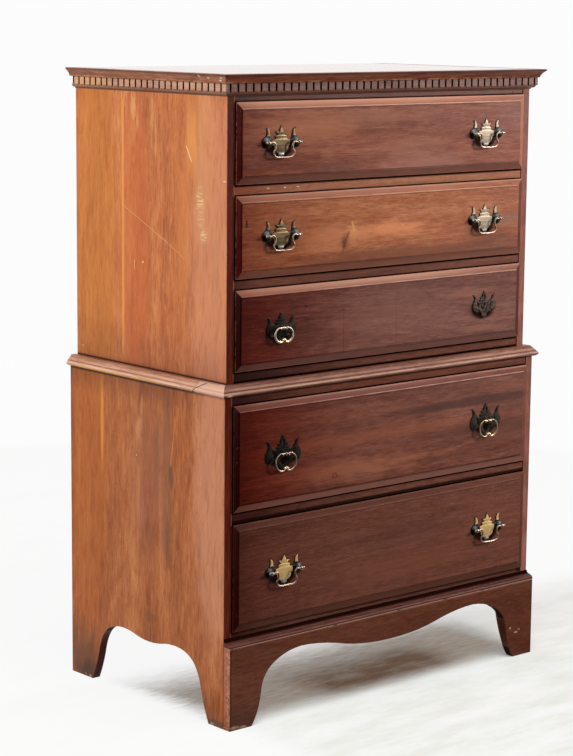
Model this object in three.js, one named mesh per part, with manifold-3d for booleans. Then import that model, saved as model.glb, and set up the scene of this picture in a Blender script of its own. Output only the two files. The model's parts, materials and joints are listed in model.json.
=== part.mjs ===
// A chest on chest: a case of three drawers standing on a case of two, with a dentil
// cornice, a waist moulding, a sawn apron and metal pulls.
// Millimetres, +Z up, the front faces -Y and the floor is z = 0.
import * as THREE from "three";
import { mergeVertices } from "three/addons/utils/BufferGeometryUtils.js";
import Module from "manifold-3d";

const wasm = await Module();
wasm.setup();

// Clearances
const seatGap = 0.3; // between pieces that are fixed to each other
const drawerGap = 1.2; // round a drawer in its opening
const pivotGap = 0.4; // round a bail or ring in its post

// Lower case
const lowerWidth = 864;
const lowerDepth = 508;
const lowerFloorThickness = 19;
const floorRebateDepth = 8;
const floorRebateHeight = 8.5;
const lowerRailThickness = 21.8;
const lowerTopThickness = 19.1;
const lowerBackDrop = 42.5; // the back reaches below the case's floor

// Upper case
const upperSetIn = 15; // from each side of the lower case
const upperSetback = 14.6; // behind the front of the lower case
const upperBackSetIn = 4.4; // in front of the back of the lower case
const upperFloorLift = 40.8; // lower case to the upper case's floor
const upperFloorThickness = 19;
const upperRailThickness = 19.3;
const topThickness = 19;
const friezeHeight = 51.8; // top drawer opening to the top

// Boards that both cases share
const sideThickness = 19;
const backThickness = 8;
const railRecess = 2; // rails behind the front edges of the sides
const topRailThickness = 19;

// Drawers, counted from the top
const drawer1Height = 157;
const drawer2Height = 159.6;
const drawer3Height = 159;
const drawer4Height = 211.1;
const drawer5Height = 215.7;
const frontBackSet = 15; // back of a drawer front behind the face of its case
const frontEdgeProud = 3.5;
const frontBevelWidth = 13;
const frontBevelRise = 2.4;
const frontFieldStep = 1.6;
const boxWall = 12;
const boxTopDrop = 8; // below the top of the opening
const boxBottomThickness = 7;
const boxBottomLift = 6;
const boxRearClearance = 20;

// Apron and side panels: half spans and rises of the sawn curves
const apronThickness = 20;
const apronHeight = 166;
const apronFootWidth = 57;
const apronLeastHeight = 25.3; // of the wood over the arch
const apronCrownShare = 0.782;
const apronShares = [
  [0.187, 0.782, 0.333, 0.871],
  [0.507, 0.995, 0.653, 1],
  [0.773, 0.988, 0.859, 0.832],
  [0.923, 0.711, 0.933, 0.498],
  [0.947, 0.178, 1, 0],
];
const scallopFrontFoot = 46.5;
const scallopRearFoot = 73.5;
const scallopTopDrop = 31.2; // below the top of the apron
const scallopCrownShare = 0.924;
const scallopShares = [
  [0.113, 0.924, 0.232, 0.964],
  [0.34, 1.005, 0.474, 1],
  [0.66, 0.987, 0.758, 0.846],
  [0.835, 0.727, 0.871, 0.527],
  [0.907, 0.282, 1, 0],
];

// Base moulding on the apron
const baseMouldingHeight = 18;
const baseBeadHeight = 9;
const baseBeadProud = 0.8;
const baseFilletReach = 13;
const baseFilletHeight = 1.4;
const baseTopReach = 2.5;

// Waist moulding, reaches measured from the faces of the lower case
const waistDrop = 3; // below the top of the lower case
const waistReach = 10.2;
const waistUnderReach = 2;
const waistUnderHeight = 2.2;
const waistNoseHeight = 6.4; // middle of the rounded nose above the moulding's bottom
const waistShoulderHeight = 9.6;
const waistShoulderReach = 8.6;
const waistTop = 20; // above the lower case
const waistLedge = 12;

// Cornice, reaches measured from the faces of the upper case
const crownHeight = 17.5;
const crownReach = 25.6;
const crownLipHeight = 4;
const crownFilletReach = 15.5;
const crownFilletHeight = 2;
const crownLipReturn = 1.2;
const crownCoveDepth = 3.5;
const dentilBandHeight = 15.2;
const bedHeight = 8.8;
const bedFootReach = 2;
const bedFilletHeight = 2.2;
const bedTopReach = 9.5;
const dentilReach = 12;
const dentilDepth = 5;
const dentilPitch = 19.02;
const dentilNotch = 4.7;
const dentilSideCorner = 13.5; // width of a corner block on the side
const dentilFrontCorner = 7.5; // least width of a corner block on the front
const mitreGap = 0.15;

// Bail pulls
const postSpacing = 76.2;
const plateThickness = 1.6;
const postFootRadius = 5.2;
const postFootHeight = 1.4;
const postFlareHeight = 1;
const postNeckRadius = 2.6;
const postHeadRadius = 4.2;
const pivotReach = 8.5; // front of the plate to the axis of the bail
const wireRadius = 1.75;
const batwingReach = 46.5; // half the width of the solid plate
const batwingTopShare = 0.667;
const batwingShares = [
  [0.043, 0.581, 0.099, 0.484],
  [0.112, 0.452, 0.116, 0.422],
  [0.194, 0.441, 0.301, 0.43],
  [0.226, 0.376, 0.176, 0.305],
  [0.237, 0.284, 0.333, 0.254],
  [0.28, 0.204, 0.312, 0.146],
  [0.43, 0.075, 0.548, 0.146],
  [0.62, 0.215, 0.62, 0.366],
  [0.62, 0.545, 0.785, 0.585],
  [0.748, 0.516, 0.757, 0.398],
  [0.763, 0.28, 0.849, 0.215],
  [1, 0.129, 1, -0.022],
  [1, -0.204, 0.839, -0.232],
  [0.677, -0.237, 0.581, -0.14],
  [0.484, -0.075, 0.391, -0.151],
  [0.398, -0.301, 0.269, -0.387],
  [0.172, -0.43, 0.142, -0.452],
  [0.183, -0.505, 0.097, -0.538],
  [0.043, -0.551, 0, -0.551],
];
const bailDrop = 28.6;
// Half of a bail from its post to its lowest point, across and down in shares of the drop
const bailShares = [
  [1.154, 0],
  [0.98, 0.05],
  [0.82, -0.05],
  [0.755, -0.25],
  [0.79, -0.45],
  [0.905, -0.6],
  [0.885, -0.79],
  [0.75, -0.93],
  [0.52, -0.99],
  [0, -1],
];

// Ring pulls
const largePlateReach = 46; // drawer 4
const middlePlateReach = 37.5; // drawer 3, left
const smallPlateReach = 35; // drawer 3, right
const largeRingReach = 26.2;
const largeRingDrop = 33.8;
const middleRingReach = 22.8;
const middleRingDrop = 27.5;
const ringBeadRadius = 2.3;
const lostPostRadius = 2.4;
const piercedTopShare = 0.78;
const piercedShares = [
  [0.074, 0.745, 0.051, 0.685],
  [0.137, 0.62, 0.154, 0.52],
  [0.16, 0.455, 0.183, 0.425],
  [0.229, 0.45, 0.3, 0.43],
  [0.251, 0.371, 0.24, 0.314],
  [0.314, 0.314, 0.371, 0.269],
  [0.32, 0.217, 0.343, 0.171],
  [0.471, 0.129, 0.571, 0.214],
  [0.66, 0.3, 0.69, 0.4],
  [0.73, 0.54, 0.9, 0.58],
  [0.83, 0.47, 0.823, 0.35],
  [0.823, 0.271, 0.9, 0.171],
  [1.029, 0, 0.989, -0.186],
  [0.943, -0.386, 0.757, -0.4],
  [0.643, -0.394, 0.586, -0.3],
  [0.457, -0.314, 0.357, -0.429],
  [0.271, -0.537, 0.157, -0.571],
  [0.246, -0.614, 0.206, -0.7],
  [0.149, -0.786, 0, -0.8],
];
// Openings of the pierced plate: two curves each, out and back
const finialSlotShares = [0, 0.63, 0.12, 0.46, 0, 0.28, -0.12, 0.46];
const middleSlotShares = [0, -0.13, 0.4, -0.22, 0, -0.58, -0.4, -0.22];
const sideSlotShares = [0.65, 0.17, 0.57, -0.02, 0.49, -0.2, 0.43, 0.02];
const lowSlotShares = [0.27, -0.05, 0.3, -0.28, 0.08, -0.36, 0.19, -0.22];
const dotSlotShares = [0, -0.44, 0.09, -0.49, 0, -0.54, -0.09, -0.49];
// Half of a ring from its bead ornament to its straight top, across and down
const ringShares = [
  [0.1, -0.9],
  [0.24, -0.99],
  [0.6, -0.97],
  [0.92, -0.76],
  [1, -0.46],
  [0.88, -0.17],
  [0.56, 0.01],
  [0.3, 0.02],
];
const ringTopShare = 0.19;
const beadShares = [
  [-0.13, -0.87],
  [0, -0.82],
  [0.13, -0.87],
];

// Where each drawer's pulls stand, in shares of half its front, left and right
const pull1Shares = [-0.728, 0.701];
const pull2Shares = [-0.723, 0.703];
const pull3Shares = [-0.718, 0.716];
const pull4Shares = [-0.702, 0.685];
const pull5Shares = [-0.69, 0.714];

// Facets
const weldTolerance = 1e-4;
const fuseDepth = 1; // how far two shapes reach into each other before they are joined
const curveSteps = 2;
const sawnSteps = 5;
const mouldingSteps = 4;
const wireSides = 6;
const bailSteps = 34;
const ringSteps = 36;
const postSides = 8;
const headSteps = 4;
const beadSides = 6;
const beadRings = 4;

// Finishes: the lighter sides, the darker front, plain inner wood and the two metals
const sideWood = finish(0xb0673a, 0.45, 0);
const frontWood = finish(0x6b3526, 0.42, 0);
const innerWood = finish(0xb89468, 0.75, 0);
const brass = finish(0xb39a63, 0.35, 1);
const bronze = finish(0x35322c, 0.5, 1);
const ringMetal = finish(0xa98f74, 0.35, 1);

// Places worked out from the driving dimensions
const lowerHalf = lowerWidth / 2;
const upperHalf = lowerHalf - upperSetIn;
const upperBack = lowerDepth - upperBackSetIn;
const lowerFloorTop = apronHeight + baseMouldingHeight + floorRebateHeight;
const lowerBays = stackBays(lowerFloorTop, [drawer5Height, drawer4Height], lowerRailThickness);
const lowerTop = lowerBays[1].ceiling + lowerTopThickness;
const upperFloorTop = lowerTop + upperFloorLift;
const upperHeights = [drawer3Height, drawer2Height, drawer1Height];
const upperBays = stackBays(upperFloorTop, upperHeights, upperRailThickness);
const caseTop = upperBays[2].ceiling + friezeHeight;
const crownBottom = caseTop - crownHeight;
const fieldProud = frontEdgeProud + frontBevelRise + frontFieldStep;
const pullReach = fieldProud + seatGap + plateThickness + pivotReach + postHeadRadius;

const model = new THREE.Group();
addLowerCase();
addUpperCase();
addBase();
addWaist();
addCornice();
addDrawers();
// The origin is the middle of the footprint that the pulls and the back bound
model.position.y = (pullReach - lowerDepth) / 2;

// Helpers

function finish(color, roughness, metalness) {
  return new THREE.MeshStandardMaterial({ color, roughness, metalness });
}

function add(name, geometry, material) {
  const mesh = new THREE.Mesh(geometry, material.clone());
  mesh.name = name;
  model.add(mesh);
}

// Drawer openings stacked above a floor, with a rail between each and the next
function stackBays(floorTop, heights, rail) {
  let floor = floorTop;
  return heights.map((height) => {
    const bottom = floor + drawerGap;
    const bay = { floor, bottom, top: bottom + height, ceiling: bottom + height + drawerGap };
    floor = bay.ceiling + rail;
    return bay;
  });
}

function board([left, right], [front, back], [bottom, top]) {
  const geometry = new THREE.BoxGeometry(right - left, back - front, top - bottom);
  return geometry.translate((left + right) / 2, (front + back) / 2, (bottom + top) / 2);
}

// An outline drawn across and up, swept along the width, the front or the height
function sweepAcross(outline, left, right, steps) {
  const settings = { depth: right - left, bevelEnabled: false, curveSegments: steps };
  const turn = new THREE.Matrix4().set(0, 0, 1, left, 1, 0, 0, 0, 0, 1, 0, 0, 0, 0, 0, 1);
  return new THREE.ExtrudeGeometry(outline, settings).applyMatrix4(turn);
}

function sweepForward(outline, back, thickness, steps) {
  const settings = { depth: thickness, bevelEnabled: false, curveSegments: steps };
  const turn = new THREE.Matrix4().set(1, 0, 0, 0, 0, 0, -1, back, 0, 1, 0, 0, 0, 0, 0, 1);
  return new THREE.ExtrudeGeometry(outline, settings).applyMatrix4(turn);
}

function sweepUp(outline, bottom, top) {
  const settings = { depth: top - bottom, bevelEnabled: false };
  return new THREE.ExtrudeGeometry(outline, settings).translate(0, 0, bottom);
}

function outlineOf(points) {
  return new THREE.Shape(points.map(([across, up]) => new THREE.Vector2(across, up)));
}

// Curves in shares of a size, drawn down the left half and back up the right half
function mirroredOutline(topShare, shares, size) {
  const ends = [[0, topShare], ...shares.map((row) => row.slice(2))];
  const outline = new THREE.Shape();
  outline.moveTo(0, topShare * size);
  shares.forEach(([bendX, bendZ, x, z]) => {
    outline.quadraticCurveTo(-bendX * size, bendZ * size, -x * size, z * size);
  });
  for (let i = shares.length - 1; i >= 0; i -= 1) {
    const [bendX, bendZ] = shares[i];
    const [x, z] = ends[i];
    outline.quadraticCurveTo(bendX * size, bendZ * size, x * size, z * size);
  }
  return outline;
}

// The sawn lower edge of a board, from its left foot over the arch to its right foot
function sawnEdge(outline, centre, crownShare, shares, halfSpan, rise) {
  const ends = [[0, crownShare], ...shares.map((row) => row.slice(2))];
  outline.lineTo(centre - halfSpan, 0);
  for (let i = shares.length - 1; i >= 0; i -= 1) {
    const [bendX, bendZ] = shares[i];
    const [x, z] = ends[i];
    outline.quadraticCurveTo(
      centre - bendX * halfSpan, bendZ * rise, centre - x * halfSpan, z * rise,
    );
  }
  shares.forEach(([bendX, bendZ, x, z]) => {
    outline.quadraticCurveTo(
      centre + bendX * halfSpan, bendZ * rise, centre + x * halfSpan, z * rise,
    );
  });
}

// One shared vertex at each corner
function welded(geometry) {
  const bare = geometry.clone();
  bare.deleteAttribute("normal");
  bare.deleteAttribute("uv");
  return mergeVertices(bare, weldTolerance);
}

function solidOf(geometry) {
  const merged = welded(geometry);
  const vertProperties = new Float32Array(merged.attributes.position.array);
  const triVerts = new Uint32Array(merged.index.array);
  return new wasm.Manifold(new wasm.Mesh({ numProp: 3, vertProperties, triVerts }));
}

function geometryOf(solid) {
  const mesh = solid.getMesh();
  const geometry = new THREE.BufferGeometry();
  const positions = new Float32Array(mesh.vertProperties);
  geometry.setAttribute("position", new THREE.BufferAttribute(positions, 3));
  geometry.setIndex(new THREE.BufferAttribute(new Uint32Array(mesh.triVerts), 1));
  geometry.computeVertexNormals();
  return geometry;
}

function join(...geometries) {
  return geometryOf(geometries.map(solidOf).reduce((whole, next) => whole.add(next)));
}

function cut(geometry, ...tools) {
  const start = solidOf(geometry);
  return geometryOf(tools.map(solidOf).reduce((whole, tool) => whole.subtract(tool), start));
}

// A solid through like sections: each station says where a section point lies there
function solidThrough(section, stations) {
  const count = section.length;
  const last = (stations.length - 1) * count;
  const faces = [];
  THREE.ShapeUtils.triangulateShape(section, []).forEach(([a, b, c]) => {
    faces.push(a, c, b, last + a, last + b, last + c);
  });
  stations.slice(1).forEach((station, level) => {
    const base = level * count;
    section.forEach((point, i) => {
      const next = (i + 1) % count;
      faces.push(base + i, base + next, base + count + next);
      faces.push(base + i, base + count + next, base + count + i);
    });
  });
  const corners = stations.flatMap((station) => section.map(station));
  const geometry = new THREE.BufferGeometry().setFromPoints(corners);
  geometry.setIndex(faces);
  return facingOut(geometry);
}

// Turns every face over if the geometry's volume comes out negative
function facingOut(geometry) {
  const place = geometry.attributes.position;
  const index = geometry.index.array;
  const corner = (i) => new THREE.Vector3().fromBufferAttribute(place, index[i]);
  let volume = 0;
  for (let i = 0; i < index.length; i += 3) {
    volume += corner(i).dot(corner(i + 1).cross(corner(i + 2)));
  }
  if (volume < 0) geometry.setIndex([...index].reverse());
  geometry.computeVertexNormals();
  return geometry;
}

// A moulding's three mitred lengths round a case: front, left and right
function mouldingRound(outline, halfWidth, face, back) {
  const section = outline.getPoints(mouldingSteps);
  const frontEnd = (sign) => (point) => new THREE.Vector3(
    sign * (halfWidth + point.x - mitreGap), face - point.x, point.y,
  );
  const sideMitre = (sign) => (point) => new THREE.Vector3(
    sign * (halfWidth + point.x), face - point.x + mitreGap, point.y,
  );
  const sideEnd = (sign) => (point) => new THREE.Vector3(
    sign * (halfWidth + point.x), back, point.y,
  );
  return {
    front: solidThrough(section, [frontEnd(-1), frontEnd(1)]),
    left: solidThrough(section, [sideMitre(-1), sideEnd(-1)]),
    right: solidThrough(section, [sideMitre(1), sideEnd(1)]),
  };
}

// Cases

function sidePanel(outline, halfWidth, name) {
  const inner = halfWidth - sideThickness;
  add(name + "_left", sweepAcross(outline, -halfWidth, -inner, sawnSteps), sideWood);
  add(name + "_right", sweepAcross(outline, inner, halfWidth, sawnSteps), sideWood);
}

function addLowerCase() {
  const inner = lowerHalf - sideThickness;
  const across = [seatGap - inner, inner - seatGap];
  const backFront = lowerDepth - backThickness - seatGap;
  const inward = [railRecess, backFront - seatGap];
  const side = new THREE.Shape();
  const halfSpan = (lowerDepth - scallopFrontFoot - scallopRearFoot) / 2;
  const centre = scallopFrontFoot + halfSpan;
  const rise = apronHeight - scallopTopDrop;
  side.moveTo(0, 0);
  sawnEdge(side, centre, scallopCrownShare, scallopShares, halfSpan, rise);
  side.lineTo(lowerDepth, 0);
  side.lineTo(lowerDepth, lowerTop);
  side.lineTo(0, lowerTop);
  sidePanel(side, lowerHalf, "lower_side");
  // The floor's front edge is rebated, so a shadow shows under the lowest drawer
  const floorBottom = lowerFloorTop - lowerFloorThickness;
  const rebateBottom = lowerFloorTop - floorRebateHeight;
  const floor = outlineOf([
    [seatGap, floorBottom],
    [inward[1], floorBottom],
    [inward[1], lowerFloorTop],
    [floorRebateDepth, lowerFloorTop],
    [floorRebateDepth, rebateBottom],
    [seatGap, rebateBottom],
  ]);
  add("lower_bottom_board", sweepAcross(floor, ...across), frontWood);
  const rail = [lowerBays[0].ceiling, lowerBays[1].floor];
  add("lower_divider", board(across, inward, rail), frontWood);
  const topBoard = [lowerBays[1].ceiling, lowerTop];
  add("lower_top_board", board(across, inward, topBoard), frontWood);
  const backHeight = [lowerFloorTop - lowerBackDrop, lowerTop];
  const back = board(across, [backFront, lowerDepth - seatGap], backHeight);
  add("lower_back_panel", back, innerWood);
}

function addUpperCase() {
  const inner = upperHalf - sideThickness;
  const across = [seatGap - inner, inner - seatGap];
  const backFront = upperBack - backThickness - seatGap;
  const inward = [upperSetback + railRecess, backFront - seatGap];
  const seat = lowerTop + seatGap;
  const boardBottom = caseTop - topThickness;
  const side = outlineOf([
    [upperSetback, seat],
    [upperBack, seat],
    [upperBack, boardBottom - seatGap],
    [upperSetback, boardBottom - seatGap],
  ]);
  sidePanel(side, upperHalf, "upper_side");
  const floor = [upperFloorTop - upperFloorThickness, upperFloorTop];
  add("upper_bottom_board", board(across, inward, floor), frontWood);
  const lowRail = [upperBays[0].ceiling, upperBays[1].floor];
  add("upper_divider_low", board(across, inward, lowRail), frontWood);
  const highRail = [upperBays[1].ceiling, upperBays[2].floor];
  add("upper_divider_high", board(across, inward, highRail), frontWood);
  const railDepth = [inward[0], inward[0] + topRailThickness];
  const railHeight = [upperBays[2].ceiling, boardBottom - seatGap];
  add("upper_top_rail", board(across, railDepth, railHeight), frontWood);
  const backHeight = [upperFloorTop - upperFloorThickness, boardBottom - seatGap];
  const back = board(across, [backFront, upperBack - seatGap], backHeight);
  add("upper_back_panel", back, innerWood);
  const top = board([-upperHalf, upperHalf], [upperSetback, upperBack], [boardBottom, caseTop]);
  add("upper_top_board", top, sideWood);
}

function addBase() {
  const apron = new THREE.Shape();
  apron.moveTo(-lowerHalf, 0);
  const halfSpan = lowerHalf - apronFootWidth;
  const rise = apronHeight - apronLeastHeight;
  sawnEdge(apron, 0, apronCrownShare, apronShares, halfSpan, rise);
  apron.lineTo(lowerHalf, 0);
  apron.lineTo(lowerHalf, apronHeight);
  apron.lineTo(-lowerHalf, apronHeight);
  const thickness = apronThickness - seatGap;
  add("front_apron", sweepForward(apron, -seatGap, thickness, sawnSteps), frontWood);
  // A bead, a fillet and a cove, drawn inward and up
  const bottom = apronHeight + seatGap;
  const top = apronHeight + baseMouldingHeight;
  const beadTop = bottom + baseBeadHeight;
  const coveBottom = beadTop + baseFilletHeight;
  const section = new THREE.Shape();
  section.moveTo(-seatGap, bottom);
  section.lineTo(-apronThickness, bottom);
  section.quadraticCurveTo(-apronThickness - baseBeadProud, beadTop, -baseFilletReach, beadTop);
  section.lineTo(-baseFilletReach, coveBottom);
  section.quadraticCurveTo(-baseTopReach, coveBottom, -baseTopReach, top);
  section.lineTo(-seatGap, top);
  const moulding = sweepAcross(section, -lowerHalf, lowerHalf, mouldingSteps);
  add("base_moulding", moulding, frontWood);
}

function addWaist() {
  const ledge = Math.min(upperSetIn, upperSetback) - seatGap;
  const seat = lowerTop + seatGap;
  const bottom = lowerTop - waistDrop;
  const under = bottom + waistUnderHeight;
  const nose = bottom + waistNoseHeight;
  const shoulder = bottom + waistShoulderHeight;
  const top = lowerTop + waistTop;
  const topReach = waistLedge - upperSetIn;
  const section = new THREE.Shape();
  section.moveTo(-ledge, seat);
  section.lineTo(seatGap, seat);
  section.lineTo(seatGap, bottom);
  section.lineTo(waistUnderReach, bottom);
  section.quadraticCurveTo(waistReach, under, waistReach, nose);
  section.quadraticCurveTo(waistReach, shoulder, waistShoulderReach, shoulder);
  section.lineTo(topReach, top);
  section.lineTo(-ledge, top);
  const lengths = mouldingRound(section, lowerHalf, 0, lowerDepth);
  add("waist_moulding_front", lengths.front, frontWood);
  add("waist_moulding_left", lengths.left, sideWood);
  add("waist_moulding_right", lengths.right, sideWood);
}

// The crown: a fillet, a cove and a thin lip
function crownSection() {
  const lipBottom = caseTop - crownLipHeight;
  const coveBottom = crownBottom + crownFilletHeight;
  const bendReach = crownFilletReach + crownCoveDepth;
  const bendHeight = lipBottom - crownCoveDepth;
  const section = new THREE.Shape();
  section.moveTo(seatGap, crownBottom);
  section.lineTo(crownFilletReach, crownBottom);
  section.lineTo(crownFilletReach, coveBottom);
  section.quadraticCurveTo(bendReach, bendHeight, crownReach - crownLipReturn, lipBottom);
  section.lineTo(crownReach, lipBottom + crownLipReturn);
  section.lineTo(crownReach, caseTop);
  section.lineTo(seatGap, caseTop);
  return section;
}

// The bed moulding under the dentils: a fillet and a cove
function bedSection(bottom, top) {
  const filletTop = bottom + bedFilletHeight;
  const section = new THREE.Shape();
  section.moveTo(seatGap, bottom);
  section.lineTo(bedFootReach, bottom);
  section.lineTo(bedFootReach, filletTop);
  section.quadraticCurveTo(bedTopReach, filletTop, bedTopReach, top);
  section.lineTo(seatGap, top);
  return section;
}

// Seen from above, the front strip is notched evenly from its middle to both corners
function frontDentils() {
  const face = upperSetback - dentilReach;
  const notchFloor = face + dentilDepth;
  const halfFace = upperHalf + dentilReach - mitreGap;
  const halfNotch = dentilNotch / 2;
  const reach = halfFace - dentilFrontCorner - halfNotch;
  const count = Math.floor(reach / dentilPitch);
  const points = [[-halfFace, face]];
  for (let i = -count; i <= count; i += 1) {
    const middle = i * dentilPitch;
    points.push([middle - halfNotch, face], [middle - halfNotch, notchFloor]);
    points.push([middle + halfNotch, notchFloor], [middle + halfNotch, face]);
  }
  const innerHalf = upperHalf + seatGap - mitreGap;
  const inner = upperSetback - seatGap;
  points.push([halfFace, face], [innerHalf, inner], [-innerHalf, inner]);
  return points;
}

// A side strip is notched from its front corner, and its last notch runs out at the back
function sideDentils(sign) {
  const outer = sign * (upperHalf + dentilReach);
  const notched = sign * (upperHalf + dentilReach - dentilDepth);
  const inner = sign * (upperHalf + seatGap);
  const start = upperSetback - dentilReach;
  const points = [[outer, start + mitreGap]];
  let notch = start + dentilSideCorner;
  while (notch + dentilPitch < upperBack) {
    points.push([outer, notch], [notched, notch]);
    points.push([notched, notch + dentilNotch], [outer, notch + dentilNotch]);
    notch += dentilPitch;
  }
  points.push([outer, notch], [notched, notch], [notched, upperBack], [inner, upperBack]);
  points.push([inner, upperSetback - seatGap + mitreGap]);
  return points;
}

function addCornice() {
  const crowns = mouldingRound(crownSection(), upperHalf, upperSetback, upperBack);
  add("crown_front", crowns.front, frontWood);
  add("crown_left", crowns.left, sideWood);
  add("crown_right", crowns.right, sideWood);
  const bandTop = crownBottom - seatGap;
  const bedTop = bandTop - dentilBandHeight;
  const bed = bedSection(bedTop - bedHeight, bedTop);
  const beds = mouldingRound(bed, upperHalf, upperSetback, upperBack);
  const band = (points) => sweepUp(outlineOf(points), bedTop - fuseDepth, bandTop);
  add("dentil_front", join(beds.front, band(frontDentils())), frontWood);
  add("dentil_left", join(beds.left, band(sideDentils(-1))), sideWood);
  add("dentil_right", join(beds.right, band(sideDentils(1))), sideWood);
}

// Drawers

function addDrawers() {
  const upper = { half: upperHalf - sideThickness, face: upperSetback, back: upperBack };
  const lower = { half: lowerHalf - sideThickness, face: 0, back: lowerDepth };
  const small = (...place) => addPlainPlate(...place, smallPlateReach);
  const middle = (...place) => {
    addRingPull(...place, middlePlateReach, middleRingReach, middleRingDrop, [dotSlotShares], []);
  };
  const openings = [[finialSlotShares, middleSlotShares], [sideSlotShares]];
  const large = (...place) => {
    addRingPull(...place, largePlateReach, largeRingReach, largeRingDrop, ...openings);
  };
  addDrawer("drawer_1", upper, upperBays[2], pull1Shares, [addBailPull, addBailPull]);
  addDrawer("drawer_2", upper, upperBays[1], pull2Shares, [addBailPull, addBailPull]);
  addDrawer("drawer_3", upper, upperBays[0], pull3Shares, [middle, small]);
  addDrawer("drawer_4", lower, lowerBays[1], pull4Shares, [large, large]);
  addDrawer("drawer_5", lower, lowerBays[0], pull5Shares, [addBailPull, addBailPull]);
}

function addDrawer(name, place, bay, shares, pulls) {
  const half = place.half - drawerGap;
  const middle = (bay.bottom + bay.top) / 2;
  add(name + "_front", drawerFront(half, place.face, middle, bay.top - middle), frontWood);
  const front = place.face + frontBackSet + seatGap;
  const back = place.back - backThickness - boxRearClearance;
  const inside = half - boxWall;
  const insideBack = back - boxWall;
  const walls = outlineOf([
    [-half, front],
    [-inside, front],
    [-inside, insideBack],
    [inside, insideBack],
    [inside, front],
    [half, front],
    [half, back],
    [-half, back],
  ]);
  const floor = bay.floor + seatGap;
  add(name + "_box", sweepUp(walls, floor, bay.ceiling - boxTopDrop), innerWood);
  const across = [seatGap - inside, inside - seatGap];
  const inward = [front, insideBack - seatGap];
  const bottom = floor + boxBottomLift;
  add(name + "_bottom", board(across, inward, [bottom, bottom + boxBottomThickness]), innerWood);
  const field = place.face - fieldProud;
  pulls[0](name + "_left", shares[0] * half, field, middle);
  pulls[1](name + "_right", shares[1] * half, field, middle);
}

// A front with a bevelled border round a raised field
function drawerFront(half, face, middle, halfHeight) {
  const corners = [[-1, -1], [1, -1], [1, 1], [-1, 1]];
  const section = corners.map(([x, z]) => new THREE.Vector2(x, z));
  const station = (inset, y) => (corner) => new THREE.Vector3(
    corner.x * (half - inset), y, middle + corner.y * (halfHeight - inset),
  );
  return solidThrough(section, [
    station(0, face + frontBackSet),
    station(0, face - frontEdgeProud),
    station(frontBevelWidth, face - frontEdgeProud - frontBevelRise),
    station(frontBevelWidth, face - fieldProud),
  ]);
}

// Pulls

// A turned post on a plate, with a bore across its head for the wire
function post(x, plateFront, z) {
  const root = -plateThickness / 2;
  const flareTop = postFootHeight + postFlareHeight;
  const profile = [[0, root], [postFootRadius, root], [postFootRadius, postFootHeight]];
  profile.push([postNeckRadius, flareTop]);
  const first = Math.asin(postNeckRadius / postHeadRadius);
  for (let i = 0; i < headSteps; i += 1) {
    const angle = first + ((Math.PI - first) * i) / headSteps;
    const radius = postHeadRadius * Math.sin(angle);
    profile.push([radius, pivotReach - postHeadRadius * Math.cos(angle)]);
  }
  profile.push([0, pivotReach + postHeadRadius]);
  const points = profile.map(([radius, forward]) => new THREE.Vector2(radius, forward));
  const turned = facingOut(welded(new THREE.LatheGeometry(points, postSides)));
  turned.rotateX(Math.PI);
  const boreRadius = wireRadius + pivotGap;
  const boreLength = 2 * (postHeadRadius + fuseDepth);
  const bore = new THREE.CylinderGeometry(boreRadius, boreRadius, boreLength, postSides);
  bore.rotateZ(Math.PI / 2);
  bore.translate(0, -pivotReach, 0);
  return cut(turned, bore).translate(x, plateFront, z);
}

// A round wire along a path that lies in the plane of the front
function wire(path, steps) {
  const section = new THREE.Shape();
  section.absarc(0, 0, wireRadius, 0, 2 * Math.PI);
  const settings = { steps, extrudePath: path, bevelEnabled: false };
  return new THREE.ExtrudeGeometry(section, { ...settings, curveSegments: wireSides / 2 });
}

function spline(points) {
  return new THREE.CatmullRomCurve3(points, false, "centripetal");
}

function addBailPull(name, x, field, z) {
  const back = field - seatGap;
  const front = back - plateThickness;
  const outline = mirroredOutline(batwingTopShare, batwingShares, batwingReach);
  const plate = sweepForward(outline, back, plateThickness, curveSteps).translate(x, 0, z);
  const posts = [-1, 1].map((sign) => post(x + (sign * postSpacing) / 2, front, z));
  add(name + "_plate", join(plate, ...posts), brass);
  const half = bailShares.map(([across, down]) => new THREE.Vector3(across, 0, down));
  half.forEach((point) => point.multiplyScalar(bailDrop));
  const mirror = half.slice(0, -1).map((point) => new THREE.Vector3(-point.x, 0, point.z));
  const pinEnd = new THREE.Vector3(postSpacing / 2 + postHeadRadius, 0, 0);
  const path = new THREE.CurvePath();
  path.add(new THREE.LineCurve3(pinEnd, half[0]));
  path.add(spline([...half, ...mirror.reverse()]));
  path.add(new THREE.LineCurve3(mirror[mirror.length - 1], pinEnd.clone().setX(-pinEnd.x)));
  add(name + "_bail", wire(path, bailSteps).translate(x, front - pivotReach, z), brass);
}

function slot(shares, size, mirror) {
  const [x0, z0, ...rest] = shares.map((share) => share * size);
  const [bendX, bendZ, x1, z1, returnX, returnZ] = rest;
  const path = new THREE.Path();
  path.moveTo(mirror * x0, z0);
  path.quadraticCurveTo(mirror * bendX, bendZ, mirror * x1, z1);
  path.quadraticCurveTo(mirror * returnX, returnZ, mirror * x0, z0);
  return path;
}

function piercedPlate(x, back, z, size, single, pairs, holes) {
  const outline = mirroredOutline(piercedTopShare, piercedShares, size);
  single.forEach((shares) => outline.holes.push(slot(shares, size, 1)));
  pairs.forEach((shares) => {
    outline.holes.push(slot(shares, size, -1), slot(shares, size, 1));
  });
  outline.holes.push(...holes);
  return sweepForward(outline, back, plateThickness, curveSteps).translate(x, 0, z);
}

// The plate whose post and ring are lost keeps the hole of its post
function addPlainPlate(name, x, field, z, size) {
  const hole = new THREE.Path();
  hole.absarc(0, 0, lostPostRadius, 0, 2 * Math.PI);
  const single = [finialSlotShares, dotSlotShares];
  const pairs = [sideSlotShares, lowSlotShares];
  const plate = piercedPlate(x, field - seatGap, z, size, single, pairs, [hole]);
  add(name + "_plate", plate, bronze);
}

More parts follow.
